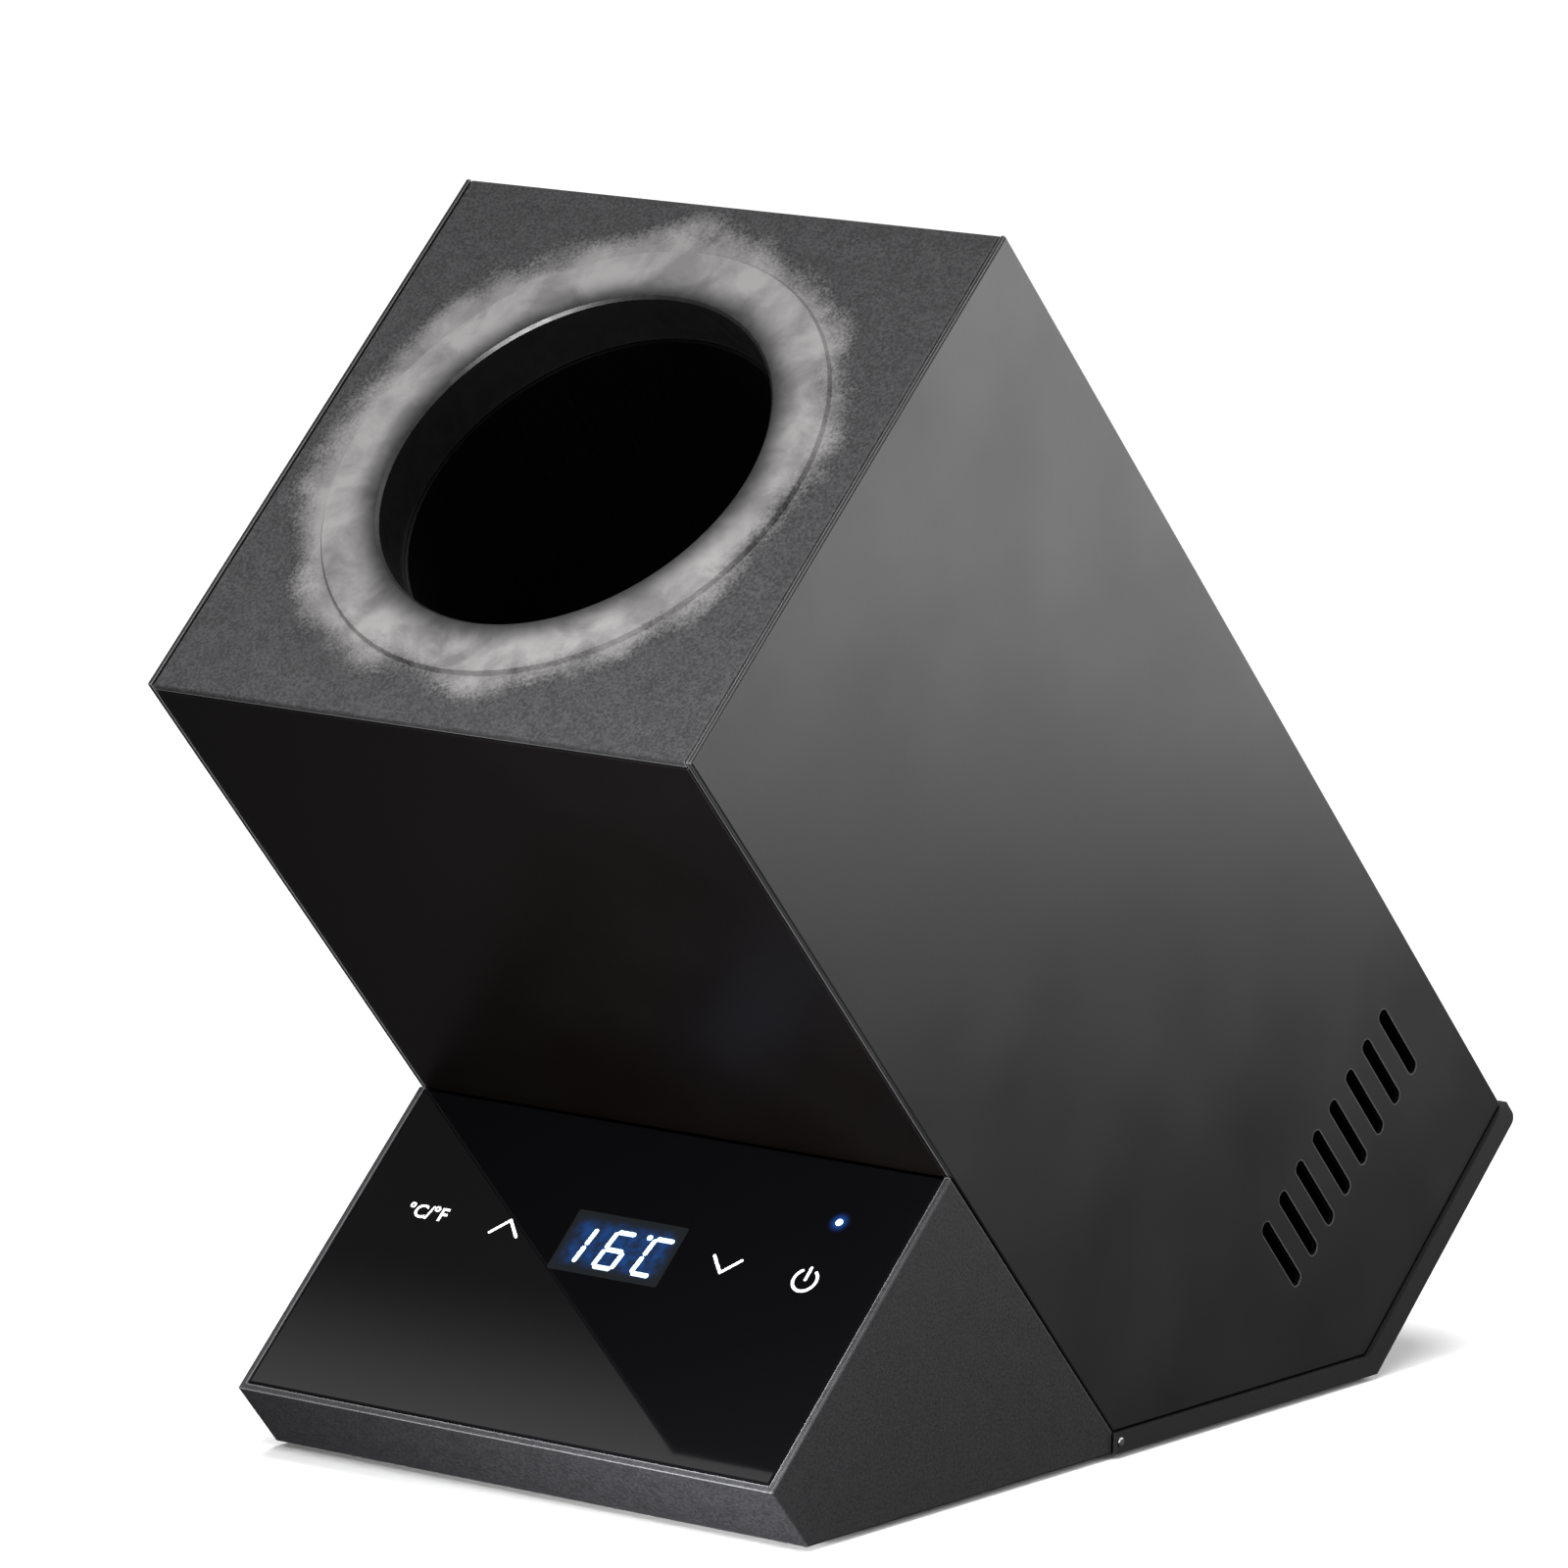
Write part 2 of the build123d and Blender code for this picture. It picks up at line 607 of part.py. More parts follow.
def bottle_pad():
    """Rubber pad in the liner's recess, with raised rings under the bottle."""
    width, height = PAD_RING
    high = RECESS_FLOOR_Z + PAD_THICK
    low = high - height
    pad = rod(PAD_R, RECESS_FLOOR_Z, low, 0, AXIS_Y)
    for i in range(1, PAD_RINGS + 1):
        radius = (PAD_R - FIT_GAP) * i / PAD_RINGS
        pad += rod(radius, low - height, high, 0, AXIS_Y) - rod(radius - width, low, high, 0, AXIS_Y)
    return pad


def foam_depth():
    """The foam and the divider reach from just behind the front tabs to the back ones."""
    front = FRONT_SHEET + TAB_SHEET + 3 * FIT_GAP
    return front, DEPTH - BACK_SHEET - TAB_SHEET - FIT_GAP


def insulation(side):
    """Half of the foam round the liner, with pockets for what reaches through it."""
    y_from, y_to = foam_depth()
    top = TOP_UNDER - TAB_SHEET - FIT_GAP
    low = (side * FIT_GAP / 2, y_from, INSULATION_BOTTOM)
    foam = box_between(low, (side * (INNER_X - FIT_GAP), y_to, top))
    ledge_under = WELL_LEDGE_Z - LINER_FLOOR
    foam -= rod(LINER_R + FIT_GAP, ledge_under - FIT_GAP, top + 1, 0, AXIS_Y)
    foam -= rod(RING_NECK_R + FIT_GAP, LINER_TOP, top + 1, 0, AXIS_Y)
    foam -= rod(RECESS_R + LINER_FLOOR + FIT_GAP, LINER_BOTTOM - FIT_GAP, WELL_LEDGE_Z, 0, AXIS_Y)
    foam -= block_passage()
    for low, high in cable_notches():
        foam -= box_between(low, high)
    return foam


def block_passage():
    x, y = COLD_BLOCK[0] / 2 + FIT_GAP, COLD_BLOCK[1] / 2 + FIT_GAP
    return box_between((-x, AXIS_Y - y, 0), (x, AXIS_Y + y, LINER_BOTTOM))


def divider():
    """Plate between the foam and the fan's compartment, on the side panels' tabs."""
    y_from, y_to = foam_depth()
    x = INNER_X - FIT_GAP
    low = (-x, y_from, INSULATION_BOTTOM - DIVIDER_THICK)
    plate = box_between(low, (x, y_to, INSULATION_BOTTOM)) - block_passage()
    for low, high in cable_notches():
        plate -= box_between(low, high)
    return plate


def cable_notches():
    """Room in the foam for the cables behind the grommet, and for the sensor."""
    x, rear = GROMMET_HOLE[0] / 2 + CABLE_ROOM, sensor_y() + CABLE_ROOM
    yield (-x, 0, 0), (x, rear, LINER_BOTTOM - FIT_GAP)
    yield (PELTIER_LEAD_X - 2.5, rear - 1, 0), (PELTIER_LEAD_X + 2.5, AXIS_Y, BLOCK_BOTTOM + 4)
    x, y = SENSOR_X, sensor_y()
    gap = SENSOR_R + 1
    yield (x - gap, y - gap, LINER_BOTTOM - 1), (x + gap, AXIS_Y - 30, SENSOR_TOP + 1)


def sensor_y():
    """The sensor lies against the liner's wall."""
    reach = LINER_R + SENSOR_R + FIT_GAP / 2
    return AXIS_Y - sqrt(reach**2 - SENSOR_X**2)


def temperature_sensor():
    return rod(SENSOR_R, SENSOR_TOP - SENSOR_LENGTH, SENSOR_TOP, SENSOR_X, sensor_y())


# ---- cooling -------------------------------------------------------------------
def clamp_places():
    return [(-CLAMP_SCREW_X, AXIS_Y), (CLAMP_SCREW_X, AXIS_Y)]


def cold_block():
    """Aluminium block between the liner's floor and the Peltier module."""
    x, y = COLD_BLOCK[0] / 2, COLD_BLOCK[1] / 2
    block = box_between((-x, AXIS_Y - y, BLOCK_BOTTOM), (x, AXIS_Y + y, LINER_BOTTOM))
    for px, py in clamp_places():
        block -= rod(CLAMP_R + SCREW_GAP, BLOCK_BOTTOM - 1, LINER_BOTTOM - 2, px, py)
    return block


def peltier_module():
    """Peltier module: two ceramic faces and the grid of legs between them, as one piece."""
    x, y, height = PELTIER[0] / 2, PELTIER[1] / 2, PELTIER[2]
    face = 0.8
    low, high = (-x, AXIS_Y - y), (x, AXIS_Y + y)
    module = box_between((*low, SINK_TOP), (*high, SINK_TOP + face))
    module += box_between((*low, BLOCK_BOTTOM - face), (*high, BLOCK_BOTTOM))
    core = x - 1.5
    module += box_between((-core, AXIS_Y - core, SINK_TOP), (core, AXIS_Y + core, SINK_TOP + height))
    return module


def peltier_gasket():
    """Foam frame that fills the gap round the Peltier module."""
    x, y = COLD_BLOCK[0] / 2, COLD_BLOCK[1] / 2
    px, py = PELTIER[0] / 2 + FIT_GAP, PELTIER[1] / 2 + FIT_GAP
    frame = box_between((-x, AXIS_Y - y, SINK_TOP), (x, AXIS_Y + y, BLOCK_BOTTOM))
    frame -= box_between((-px, AXIS_Y - py, SINK_TOP - 1), (px, AXIS_Y + py, BLOCK_BOTTOM + 1))
    for cx, cy in clamp_places():
        frame -= rod(CLAMP_R + SCREW_GAP, SINK_TOP - 1, BLOCK_BOTTOM + 1, cx, cy)
    return frame


def fan_holes():
    half = FAN_SIZE / 2 - FAN_HOLE_INSET
    return [(x, FAN_Y + y) for x in (-half, half) for y in (-half, half)]


def heat_sink():
    """Finned heat sink; its channels run across, towards the slots in the side panels."""
    x, y = SINK[0] / 2, SINK[1] / 2
    sink = box_between((-x, SINK_Y - y, FIN_ROOT), (x, SINK_Y + y, SINK_TOP))
    pitch = (SINK[1] - FIN_THICK) / (FIN_COUNT - 1)
    for i in range(FIN_COUNT):
        at = SINK_Y - y + i * pitch
        sink += box_between((-x, at, FAN_TOP), (x, at + FIN_THICK, FIN_ROOT))
    for px, py in clamp_places():
        sink -= rod(CLAMP_R + SCREW_GAP, FIN_ROOT - 1, SINK_TOP + 1, px, py)
        sink -= rod(CLAMP_HEAD[0] + 1.5, FAN_TOP - 1, FIN_ROOT, px, py)
    for px, py in fan_holes():
        sink -= rod(FAN_SCREW_R + SCREW_GAP, FAN_TOP - 1, FAN_TOP + 6, px, py)
    return sink


def clamp_screws():
    """Screws that pull the heat sink up to the cold block across the Peltier module."""
    radius, height = CLAMP_HEAD
    screw = rod(radius, FIN_ROOT - height, FIN_ROOT) + rod(CLAMP_R, FIN_ROOT, LINER_BOTTOM - 3)
    screw -= Pos(0, 0, FIN_ROOT - height) * (Box(4, 0.9, 2.4) + Box(0.9, 4, 2.4))
    return group(Pos(x, y, 0) * screw for x, y in clamp_places())


def hub_floor():
    return FAN_BOTTOM + FAN_STRUT[1]


def hub_top():
    return FAN_TOP - 1.0


def bush_top():
    return hub_top() - HUB_WALL - 1.0


def fan_frame():
    """Square fan frame with a round duct, four struts and the bearing's socket."""
    square = extrude(RectangleRounded(FAN_SIZE, FAN_SIZE, 4), FAN_THICK)
    frame = Pos(0, FAN_Y, FAN_BOTTOM) * square
    frame -= rod(FAN_BORE_R, FAN_BOTTOM - 1, FAN_TOP + 1, 0, FAN_Y)
    for x, y in fan_holes():
        frame -= rod(FAN_SCREW_R + SCREW_GAP, FAN_BOTTOM - 1, FAN_TOP + 1, x, y)
    width, thick = FAN_STRUT
    for angle in (45, 135):
        bar = Box(2 * FAN_BORE_R + 4, width, thick)
        frame += Pos(0, FAN_Y, FAN_BOTTOM + thick / 2) * Rot(0, 0, angle) * bar
    frame += rod(HUB_R, FAN_BOTTOM, hub_floor(), 0, FAN_Y)
    frame += rod(BUSH_R + BUSH_SOCKET_WALL, hub_floor() - 0.5, bush_top(), 0, FAN_Y)
    return frame - rod(BUSH_R + 0.02, FAN_BOTTOM + 0.8, FAN_TOP, 0, FAN_Y)


def fan_bush():
    """Bronze bush in the frame's socket."""
    bush = rod(BUSH_R, FAN_BOTTOM + 0.8, bush_top(), 0, FAN_Y)
    return bush - rod(SHAFT_R + SHAFT_CLEARANCE, FAN_BOTTOM, FAN_TOP, 0, FAN_Y)


def fan_stator():
    """Four-pole iron core with its windings, round the bearing's socket."""
    low, high = hub_floor() + 1.5, bush_top() - 1.0
    core = rod(BUSH_R + BUSH_SOCKET_WALL + 2.0, low, high, 0, FAN_Y)
    for angle in (0, 90, 180, 270):
        arm = box_between((3, -2.0, low), (HUB_R - HUB_WALL - 2.0, 2.0, high))
        shoe = box_between((HUB_R - HUB_WALL - 3.4, -5.0, low), (HUB_R - HUB_WALL - 2.0, 5.0, high))
        core += Pos(0, FAN_Y, 0) * Rot(0, 0, angle) * (arm + shoe)
    core = core & rod(HUB_R - HUB_WALL - 0.8, low, high, 0, FAN_Y)
    return core - rod(BUSH_R + BUSH_SOCKET_WALL + 0.05, low - 1, high + 1, 0, FAN_Y)


def fan_rotor():
    """Impeller: a cup-shaped hub with pitched blades."""
    low = hub_floor() + 0.8
    hub = rod(HUB_R, low, hub_top(), 0, FAN_Y)
    hub = fillet(hub.edges().sort_by(Axis.Z)[-1:], 1.2)
    height = (hub_top() - low) * 0.92
    reach = BLADE_TIP_R - HUB_R + 6
    blade = Rot(BLADE_PITCH, 0, 0) * Box(reach, BLADE_THICK, height * 1.35)
    blade = Pos(HUB_R - 3 + reach / 2, 0, (low + hub_top()) / 2) * blade
    blades = [Pos(0, FAN_Y, 0) * Rot(0, 0, i * 360 / BLADE_COUNT) * blade for i in range(BLADE_COUNT)]
    duct = rod(BLADE_TIP_R, low + 0.2, hub_top() - 0.2, 0, FAN_Y)
    for one in blades:
        hub += one & duct
    hub -= rod(HUB_R - HUB_WALL, low - 1, hub_top() - HUB_WALL, 0, FAN_Y)
    return hub - rod(SHAFT_R, low, hub_top() + 1, 0, FAN_Y)


def fan_shaft():
    return rod(SHAFT_R, FAN_BOTTOM + 1.4, hub_top(), 0, FAN_Y)


def fan_screws():
    """Long screws from below, through the fan's corners into the heat sink's fins."""
    seat = Rot(180, 0, 0) * pan_screw(0.5)
    shank = rod(FAN_SCREW_R, FAN_BOTTOM, FAN_TOP + 5)
    return group(Pos(x, y, 0) * (Pos(0, 0, FAN_BOTTOM) * seat + shank) for x, y in fan_holes())


# ---- power inlet ---------------------------------------------------------------
def dc_jack():
    """Round low-voltage socket through the back panel, with its centre pin."""
    bore, deep = JACK_BORE
    floor = DEPTH - deep
    body = rod_y(JACK_FLANGE_R, DEPTH, DEPTH + JACK_FLANGE, JACK_X, JACK_Z)
    body = fillet(body.edges().sort_by(Axis.Y)[-1:], EDGE_ROUND)
    body += rod_y(JACK_THREAD_R, DEPTH - JACK_LENGTH, DEPTH, JACK_X, JACK_Z)
    body -= rod_y(bore, floor, DEPTH + JACK_FLANGE + 1, JACK_X, JACK_Z)
    return body + rod_y(JACK_PIN_R, floor - 1, DEPTH - 0.5, JACK_X, JACK_Z)


def dc_jack_nut():
    """Hexagon nut that holds the socket from inside."""
    y_to = DEPTH - BACK_SHEET
    radius, thick = JACK_NUT
    nut = extrude(Plane.XZ * RegularPolygon(radius, 6), thick)
    nut = Pos(JACK_X, y_to, JACK_Z) * nut
    return nut - rod_y(JACK_THREAD_R + 0.05, y_to - 5, y_to + 5, JACK_X, JACK_Z)


# ---- cables inside the case ----------------------------------------------------
def cable(points, diameter):
    """A round cable along straight runs joined by arcs as large as the runs allow."""
    runs = [Vector(b) - Vector(a) for a, b in zip(points, points[1:])]
    radii = []
    for before, after in zip(runs, runs[1:]):
        half_turn = radians(before.get_angle(after)) / 2
        radii.append(0.45 * min(before.length, after.length) * cos(half_turn) / sin(half_turn))
    path = FilletPolyline(*points, radius=radii)
    section = Plane(origin=points[0], z_dir=runs[0]) * Circle(diameter / 2)
    tube = sweep(section, path=path)
    ratio = tube.volume / (section.area * path.length)
    print(f"cable {diameter} mm: {path.length:.0f} mm long, tightest {min(radii):.1f} mm, volume {ratio:.3f}")
    return tube


def board_run(x, socket):
    """A cable's last stretch: through the grommet and into a socket in the housing."""
    height = board_top() + SOCKET[2] / 2
    rear = CONTROL_BOARD_Y + SOCKET_BACK
    turn, end = (socket, *in_case(rear + 13, height)), (socket, *in_case(rear, height))
    return [(x, 14, GROMMET_Z), (x, -6, GROMMET_Z), turn, end]


def peltier_lead():
    z = (SINK_TOP + BLOCK_BOTTOM) / 2
    front = AXIS_Y - COLD_BLOCK[1] / 2
    x = PELTIER_LEAD_X
    route = [(x, front, z), (x, front - 12, z), (x - 1.5, front - 23, z + 2.5)]
    return cable([*route, *board_run(3, SOCKET_XS[2])], 2.6)


def fan_lead():
    front, z = FAN_Y - FAN_SIZE / 2, FAN_TOP - 5
    route = [(1.5, front, z), (1.5, front - 10, z), (0.5, front - 19, z + 11)]
    route += [(-0.5, front - 27, z + 27), (-1.5, front - 33, z + 40)]
    return cable([*route, *board_run(-2.5, SOCKET_XS[1])], 2.0)


def inlet_lead():
    inner_end = DEPTH - JACK_LENGTH
    route = [(JACK_X, inner_end, JACK_Z), (JACK_X, inner_end - 14, JACK_Z), (-57, 92, -49)]
    route += [(-59, 72, -43), (-58, 52, -33), (-49, 35, -20), (-34, 25, -7), (-18, 20, 2)]
    return cable([*route, *board_run(-7.5, SOCKET_XS[0])], 3.2)


def sensor_lead():
    y, z = sensor_y(), SENSOR_TOP - SENSOR_LENGTH
    route = [(SENSOR_X, y, z), (SENSOR_X, y, z - 10)]
    return cable([*route, *board_run(8, SOCKET_XS[3])], 1.4)


def cable_grommet():
    """Rubber grommet in the front panel's oblong hole."""
    gap = 0.1
    y_from, y_to = -SEAM, FRONT_SHEET + GROMMET_LIP
    inner = (GROMMET_HOLE[0] - 2 * gap, GROMMET_HOLE[1] - 2 * gap)
    wide = (GROMMET_HOLE[0] + 3, GROMMET_HOLE[1] + 3)
    grommet = oblong(inner, y_from, y_to, GROMMET_Z) + oblong(wide, FRONT_SHEET, y_to, GROMMET_Z)
    return grommet - oblong(CABLE_PASSAGE, y_from - 1, y_to + 1, GROMMET_Z)


def display_ribbon():
    """Flat cable from the touch board down to the control board."""
    y_top = -14.0
    under = TOUCH_TOP - BOARD_THICK
    forward = CONTROL_BOARD_Y + 10
    bend, end = in_case(forward, board_top() + 18), in_case(forward, board_top())
    points = [(y_top, under), (y_top, under - 30), bend, end]
    path = FilletPolyline(*[(RIBBON_X, y, z) for y, z in points], radius=[9.0, 6.0])
    section = Plane(origin=(RIBBON_X, y_top, under), z_dir=(0, 0, -1)) * Rectangle(*RIBBON)
    return sweep(section, path=path)


CASE_PIECES = {
    "right_side_panel": side_panel(1),
    "left_side_panel": side_panel(-1),
    "top_plate": top_plate(),
    "front_panel": front_panel(),
    "back_panel": back_panel(),
    "back_screws": back_screws(),
    "base_tray": base_tray(),
    "side_screws": side_screws(),
    "control_housing": control_housing(),
    "housing_screws": housing_screws(),
    "control_glass": control_glass(),
    "touch_board": touch_board(),
    "touch_pads": touch_pads(),
    "display_module": display_module(),
    "status_led": status_led(),
    "rim_ring": rim_ring(),
    "bottle_liner": bottle_liner(),
    "bottle_pad": bottle_pad(),
    "insulation_right": insulation(1),
    "insulation_left": insulation(-1),
    "divider": divider(),
    "temperature_sensor": temperature_sensor(),
    "cold_block": cold_block(),
    "peltier_module": peltier_module(),
    "peltier_gasket": peltier_gasket(),
    "heat_sink": heat_sink(),
    "clamp_screws": clamp_screws(),
    "fan_frame": fan_frame(),
    "fan_bush": fan_bush(),
    "fan_stator": fan_stator(),
    "fan_rotor": fan_rotor(),
    "fan_shaft": fan_shaft(),
    "fan_screws": fan_screws(),
    "dc_jack": dc_jack(),
    "dc_jack_nut": dc_jack_nut(),
    "cable_grommet": cable_grommet(),
    "peltier_lead": peltier_lead(),
    "fan_lead": fan_lead(),
    "inlet_lead": inlet_lead(),
    "sensor_lead": sensor_lead(),
    "display_ribbon": display_ribbon(),
}
LEVEL_PIECES = {
    "feet": feet(),
    "control_board": control_board(),
    "board_screws": board_screws(),
    "board_parts": board_parts(),
}

os.makedirs("parts", exist_ok=True)
for name, shape in CASE_PIECES.items():
    export_step(tilted(shape), f"parts/{name}.step")
for name, shape in LEVEL_PIECES.items():
    export_step(standing(shape), f"parts/{name}.step")
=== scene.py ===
import bmesh
import bpy
import json
import math
from mathutils import Matrix, Vector


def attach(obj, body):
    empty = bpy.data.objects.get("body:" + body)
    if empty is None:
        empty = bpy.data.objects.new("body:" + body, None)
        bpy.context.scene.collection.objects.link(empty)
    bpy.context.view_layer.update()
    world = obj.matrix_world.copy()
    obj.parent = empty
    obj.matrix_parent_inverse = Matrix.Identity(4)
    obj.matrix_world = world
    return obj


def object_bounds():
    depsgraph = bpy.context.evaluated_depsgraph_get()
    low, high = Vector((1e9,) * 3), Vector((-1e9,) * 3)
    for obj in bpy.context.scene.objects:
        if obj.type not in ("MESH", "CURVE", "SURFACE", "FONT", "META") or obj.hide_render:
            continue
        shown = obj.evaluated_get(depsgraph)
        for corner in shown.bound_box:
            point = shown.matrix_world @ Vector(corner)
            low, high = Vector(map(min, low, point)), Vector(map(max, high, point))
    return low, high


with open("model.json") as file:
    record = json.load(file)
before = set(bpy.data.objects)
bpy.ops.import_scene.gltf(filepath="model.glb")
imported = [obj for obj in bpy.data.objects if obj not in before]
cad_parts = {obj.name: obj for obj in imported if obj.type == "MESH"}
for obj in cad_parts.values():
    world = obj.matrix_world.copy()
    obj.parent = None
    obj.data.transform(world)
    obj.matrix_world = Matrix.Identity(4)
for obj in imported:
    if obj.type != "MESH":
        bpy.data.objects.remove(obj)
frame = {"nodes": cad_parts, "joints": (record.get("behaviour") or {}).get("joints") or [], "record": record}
nodes = frame["nodes"]
cadBox = [list(corner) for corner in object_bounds()]
mm = 0.001

# the case leans along the fan's axis, so every leaning piece is placed from that axis
leanAxis = Vector(frame["joints"][0]["axis"]).normalized()
acrossAxis = Vector((1, 0, 0))
depthAxis = leanAxis.cross(acrossAxis).normalized()
leanAngle = math.atan2(-leanAxis.y, leanAxis.z)


def spanAlong(nodeName, axis):
    reach = [v.co.dot(axis) for v in nodes[nodeName].data.vertices]
    return min(reach), max(reach)


def toCase(x, depth, height):
    return acrossAxis * x + depthAxis * depth + leanAxis * height


# small helpers for modelling
def startClean():
    if bpy.context.object and bpy.context.object.mode != "OBJECT":
        bpy.ops.object.mode_set(mode="OBJECT")
    bpy.ops.object.select_all(action="DESELECT")


def pickOnly(piece):
    startClean()
    piece.select_set(True)
    bpy.context.view_layer.objects.active = piece


def applyPlace(piece):
    pickOnly(piece)
    bpy.ops.object.transform_apply(location=True, rotation=True, scale=True)


def applyModifiers(piece):
    pickOnly(piece)
    for name in [m.name for m in piece.modifiers]:
        bpy.ops.object.modifier_apply(modifier=name)


def standOnCase(piece, x, depth, height):
    # drawn flat in its own x and y, then turned to lie on a face across the bottle's axis
    turn = Matrix((acrossAxis, depthAxis, leanAxis)).transposed().to_4x4()
    piece.matrix_world = Matrix.Translation(toCase(x, depth, height)) @ turn
    applyPlace(piece)


def finishPiece(piece, name, body, material):
    piece.name = name
    piece.data.name = name
    piece.data.materials.clear()
    piece.data.materials.append(material)
    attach(piece, body)


# small helpers for materials
def srgb(hexColour):
    channels = [int(hexColour[i:i + 2], 16) / 255 for i in (1, 3, 5)]
    linear = [c / 12.92 if c <= 0.04045 else ((c + 0.055) / 1.055) ** 2.4 for c in channels]
    return (*linear, 1)


def addNode(tree, kind, settings=None, sockets=None):
    # a socket that is given another node's output is linked, and any other value is typed in
    node = tree.nodes.new("ShaderNode" + kind)
    for key, value in (settings or {}).items():
        setattr(node, key, value)
    for key, value in (sockets or {}).items():
        if isinstance(value, bpy.types.NodeSocket):
            tree.links.new(value, node.inputs[key])
        else:
            node.inputs[key].default_value = value
    return node


def newMaterial(name, shader):
    material = bpy.data.materials.new(name)
    material.use_nodes = True
    tree = material.node_tree
    tree.nodes.clear()
    surface = addNode(tree, "BsdfPrincipled", sockets=shader)
    addNode(tree, "OutputMaterial", sockets={"Surface": surface.outputs["BSDF"]})
    coords = addNode(tree, "TexCoord").outputs["Object"]
    return material, tree, surface, coords


def perMm(size):
    # a texture's scale, from the size of its pattern in millimetres
    return 1 / (size * mm)


def spread(low, high, toLow=0.0, toHigh=1.0):
    return {"From Min": low, "From Max": high, "To Min": toLow, "To Max": toHigh}


def swing(middle, amount):
    # most of a noise lies between 0.3 and 0.7, which becomes the middle less or plus the amount
    return spread(0.3, 0.7, middle - amount, middle + amount)


def feed(tree, surface, outputs):
    # what varies over the surface goes to the shader's sockets by link
    for key, output in outputs.items():
        tree.links.new(output, surface.inputs[key])


print("frame loaded")

# the camera stands to the front right, a little above the case, with a long lens
cameraView = {
    "azimuth": 36.74, "elevation": 9.85, "roll": 1.08,      # degrees
    "distance": 2.1878, "clip": 100,                        # metres
    "lens": 235.3, "sensor": 36,                            # millimetres
    "aim": (-0.0196, 0.0, 0.0021),                          # metres from the middle of the object's box
}


def makeCamera(view):
    low, high = cadBox
    middle = Vector([(a + b) / 2 for a, b in zip(low, high)])
    aim = middle + Vector(view["aim"])
    azimuth, elevation = math.radians(view["azimuth"]), math.radians(view["elevation"])
    towards = Vector((
        math.sin(azimuth) * math.cos(elevation),
        -math.cos(azimuth) * math.cos(elevation),
        math.sin(elevation),
    ))
    right = Vector((math.cos(azimuth), math.sin(azimuth), 0))
    up = towards.cross(right)
    roll = math.radians(view["roll"])
    rolledRight = right * math.cos(roll) + up * math.sin(roll)
    rolledUp = towards.cross(rolledRight)
    place = Matrix((rolledRight, rolledUp, towards)).transposed().to_4x4()
    place.translation = aim + towards * view["distance"]
    data = bpy.data.cameras.new("camera")
    data.lens = view["lens"]
    data.sensor_width = view["sensor"]
    data.clip_end = view["clip"]
    camera = bpy.data.objects.new("camera", data)
    bpy.context.scene.collection.objects.link(camera)
    camera.matrix_world = place
    bpy.context.scene.camera = camera


makeCamera(cameraView)
print("camera placed")

# satin powder coat on sheet steel: level to the eye, its gloss rippled and clouded very faintly
satinCoat = {
    "cloud": 35.0, "glossSwing": 0.04,
    "grain": 0.4, "grainDepth": 0.012, "ripple": 2.4, "rippleDepth": 0.02,      # mm
}
# painted highlight: a sheet's rounded edges are painted a little paler, standing in for light caught on them
paintedEdgeHighlight = {
    "width": 0.55, "colour": "#6a6a6b", "most": 0.75, "samples": 8,
    "flat": 0.998, "turned": 0.9,                   # cosines, from no painted highlight to the most
}


# painted highlight: a paler colour is mixed into the tone where the surface turns over an edge
def addPaintedEdgeHighlight(tree, tone):
    rounded = addNode(tree, "Bevel", {"samples": paintedEdgeHighlight["samples"]}, {"Radius": paintedEdgeHighlight["width"] * mm})
    facing = addNode(tree, "NewGeometry").outputs["Normal"]
    match = addNode(tree, "VectorMath", {"operation": "DOT_PRODUCT"}, {
        0: rounded.outputs["Normal"], 1: facing})
    share = addNode(tree, "MapRange", sockets={
        "Value": match.outputs["Value"],
        **spread(paintedEdgeHighlight["flat"], paintedEdgeHighlight["turned"], 0.0, paintedEdgeHighlight["most"])})
    return addNode(tree, "Mix", {"data_type": "RGBA"}, {
        0: share.outputs["Result"], 6: tone, 7: srgb(paintedEdgeHighlight["colour"])}).outputs[2]


def makeSatinCoat(name, colour, roughness, specular=0.5):
    material, tree, surface, coords = newMaterial(name, {"Specular IOR Level": specular})
    cloud = addNode(tree, "TexNoise", sockets={
        "Vector": coords, "Scale": perMm(satinCoat["cloud"]), "Detail": 3.0})
    rough = addNode(tree, "MapRange", sockets={
        "Value": cloud.outputs["Fac"], **swing(roughness, satinCoat["glossSwing"])})
    grain = addNode(tree, "TexNoise", sockets={"Vector": coords, "Scale": perMm(satinCoat["grain"])})
    fine = addNode(tree, "Bump", sockets={
        "Height": grain.outputs["Fac"], "Strength": 0.6, "Distance": satinCoat["grainDepth"] * mm})
    ripple = addNode(tree, "TexNoise", sockets={
        "Vector": coords, "Scale": perMm(satinCoat["ripple"]), "Detail": 1.0})
    wavy = addNode(tree, "Bump", sockets={
        "Height": ripple.outputs["Fac"], "Strength": 0.5, "Distance": satinCoat["rippleDepth"] * mm,
        "Normal": fine.outputs["Normal"]})
    feed(tree, surface, {
        "Base Color": addPaintedEdgeHighlight(tree, srgb(colour)),
        "Roughness": rough.outputs["Result"], "Normal": wavy.outputs["Normal"]})
    return material


# textured powder coat: an even grit, drawn at just under a millimetre so that it shows
grittyCoat = {
    "grit": 0.7, "depth": 0.07, "clump": 4.0,       # mm
    "clumpSwing": 0.05, "glossSwing": 0.08,
    "darkTo": 0.38, "lightFrom": 0.64, "lighter": 2.1,
}


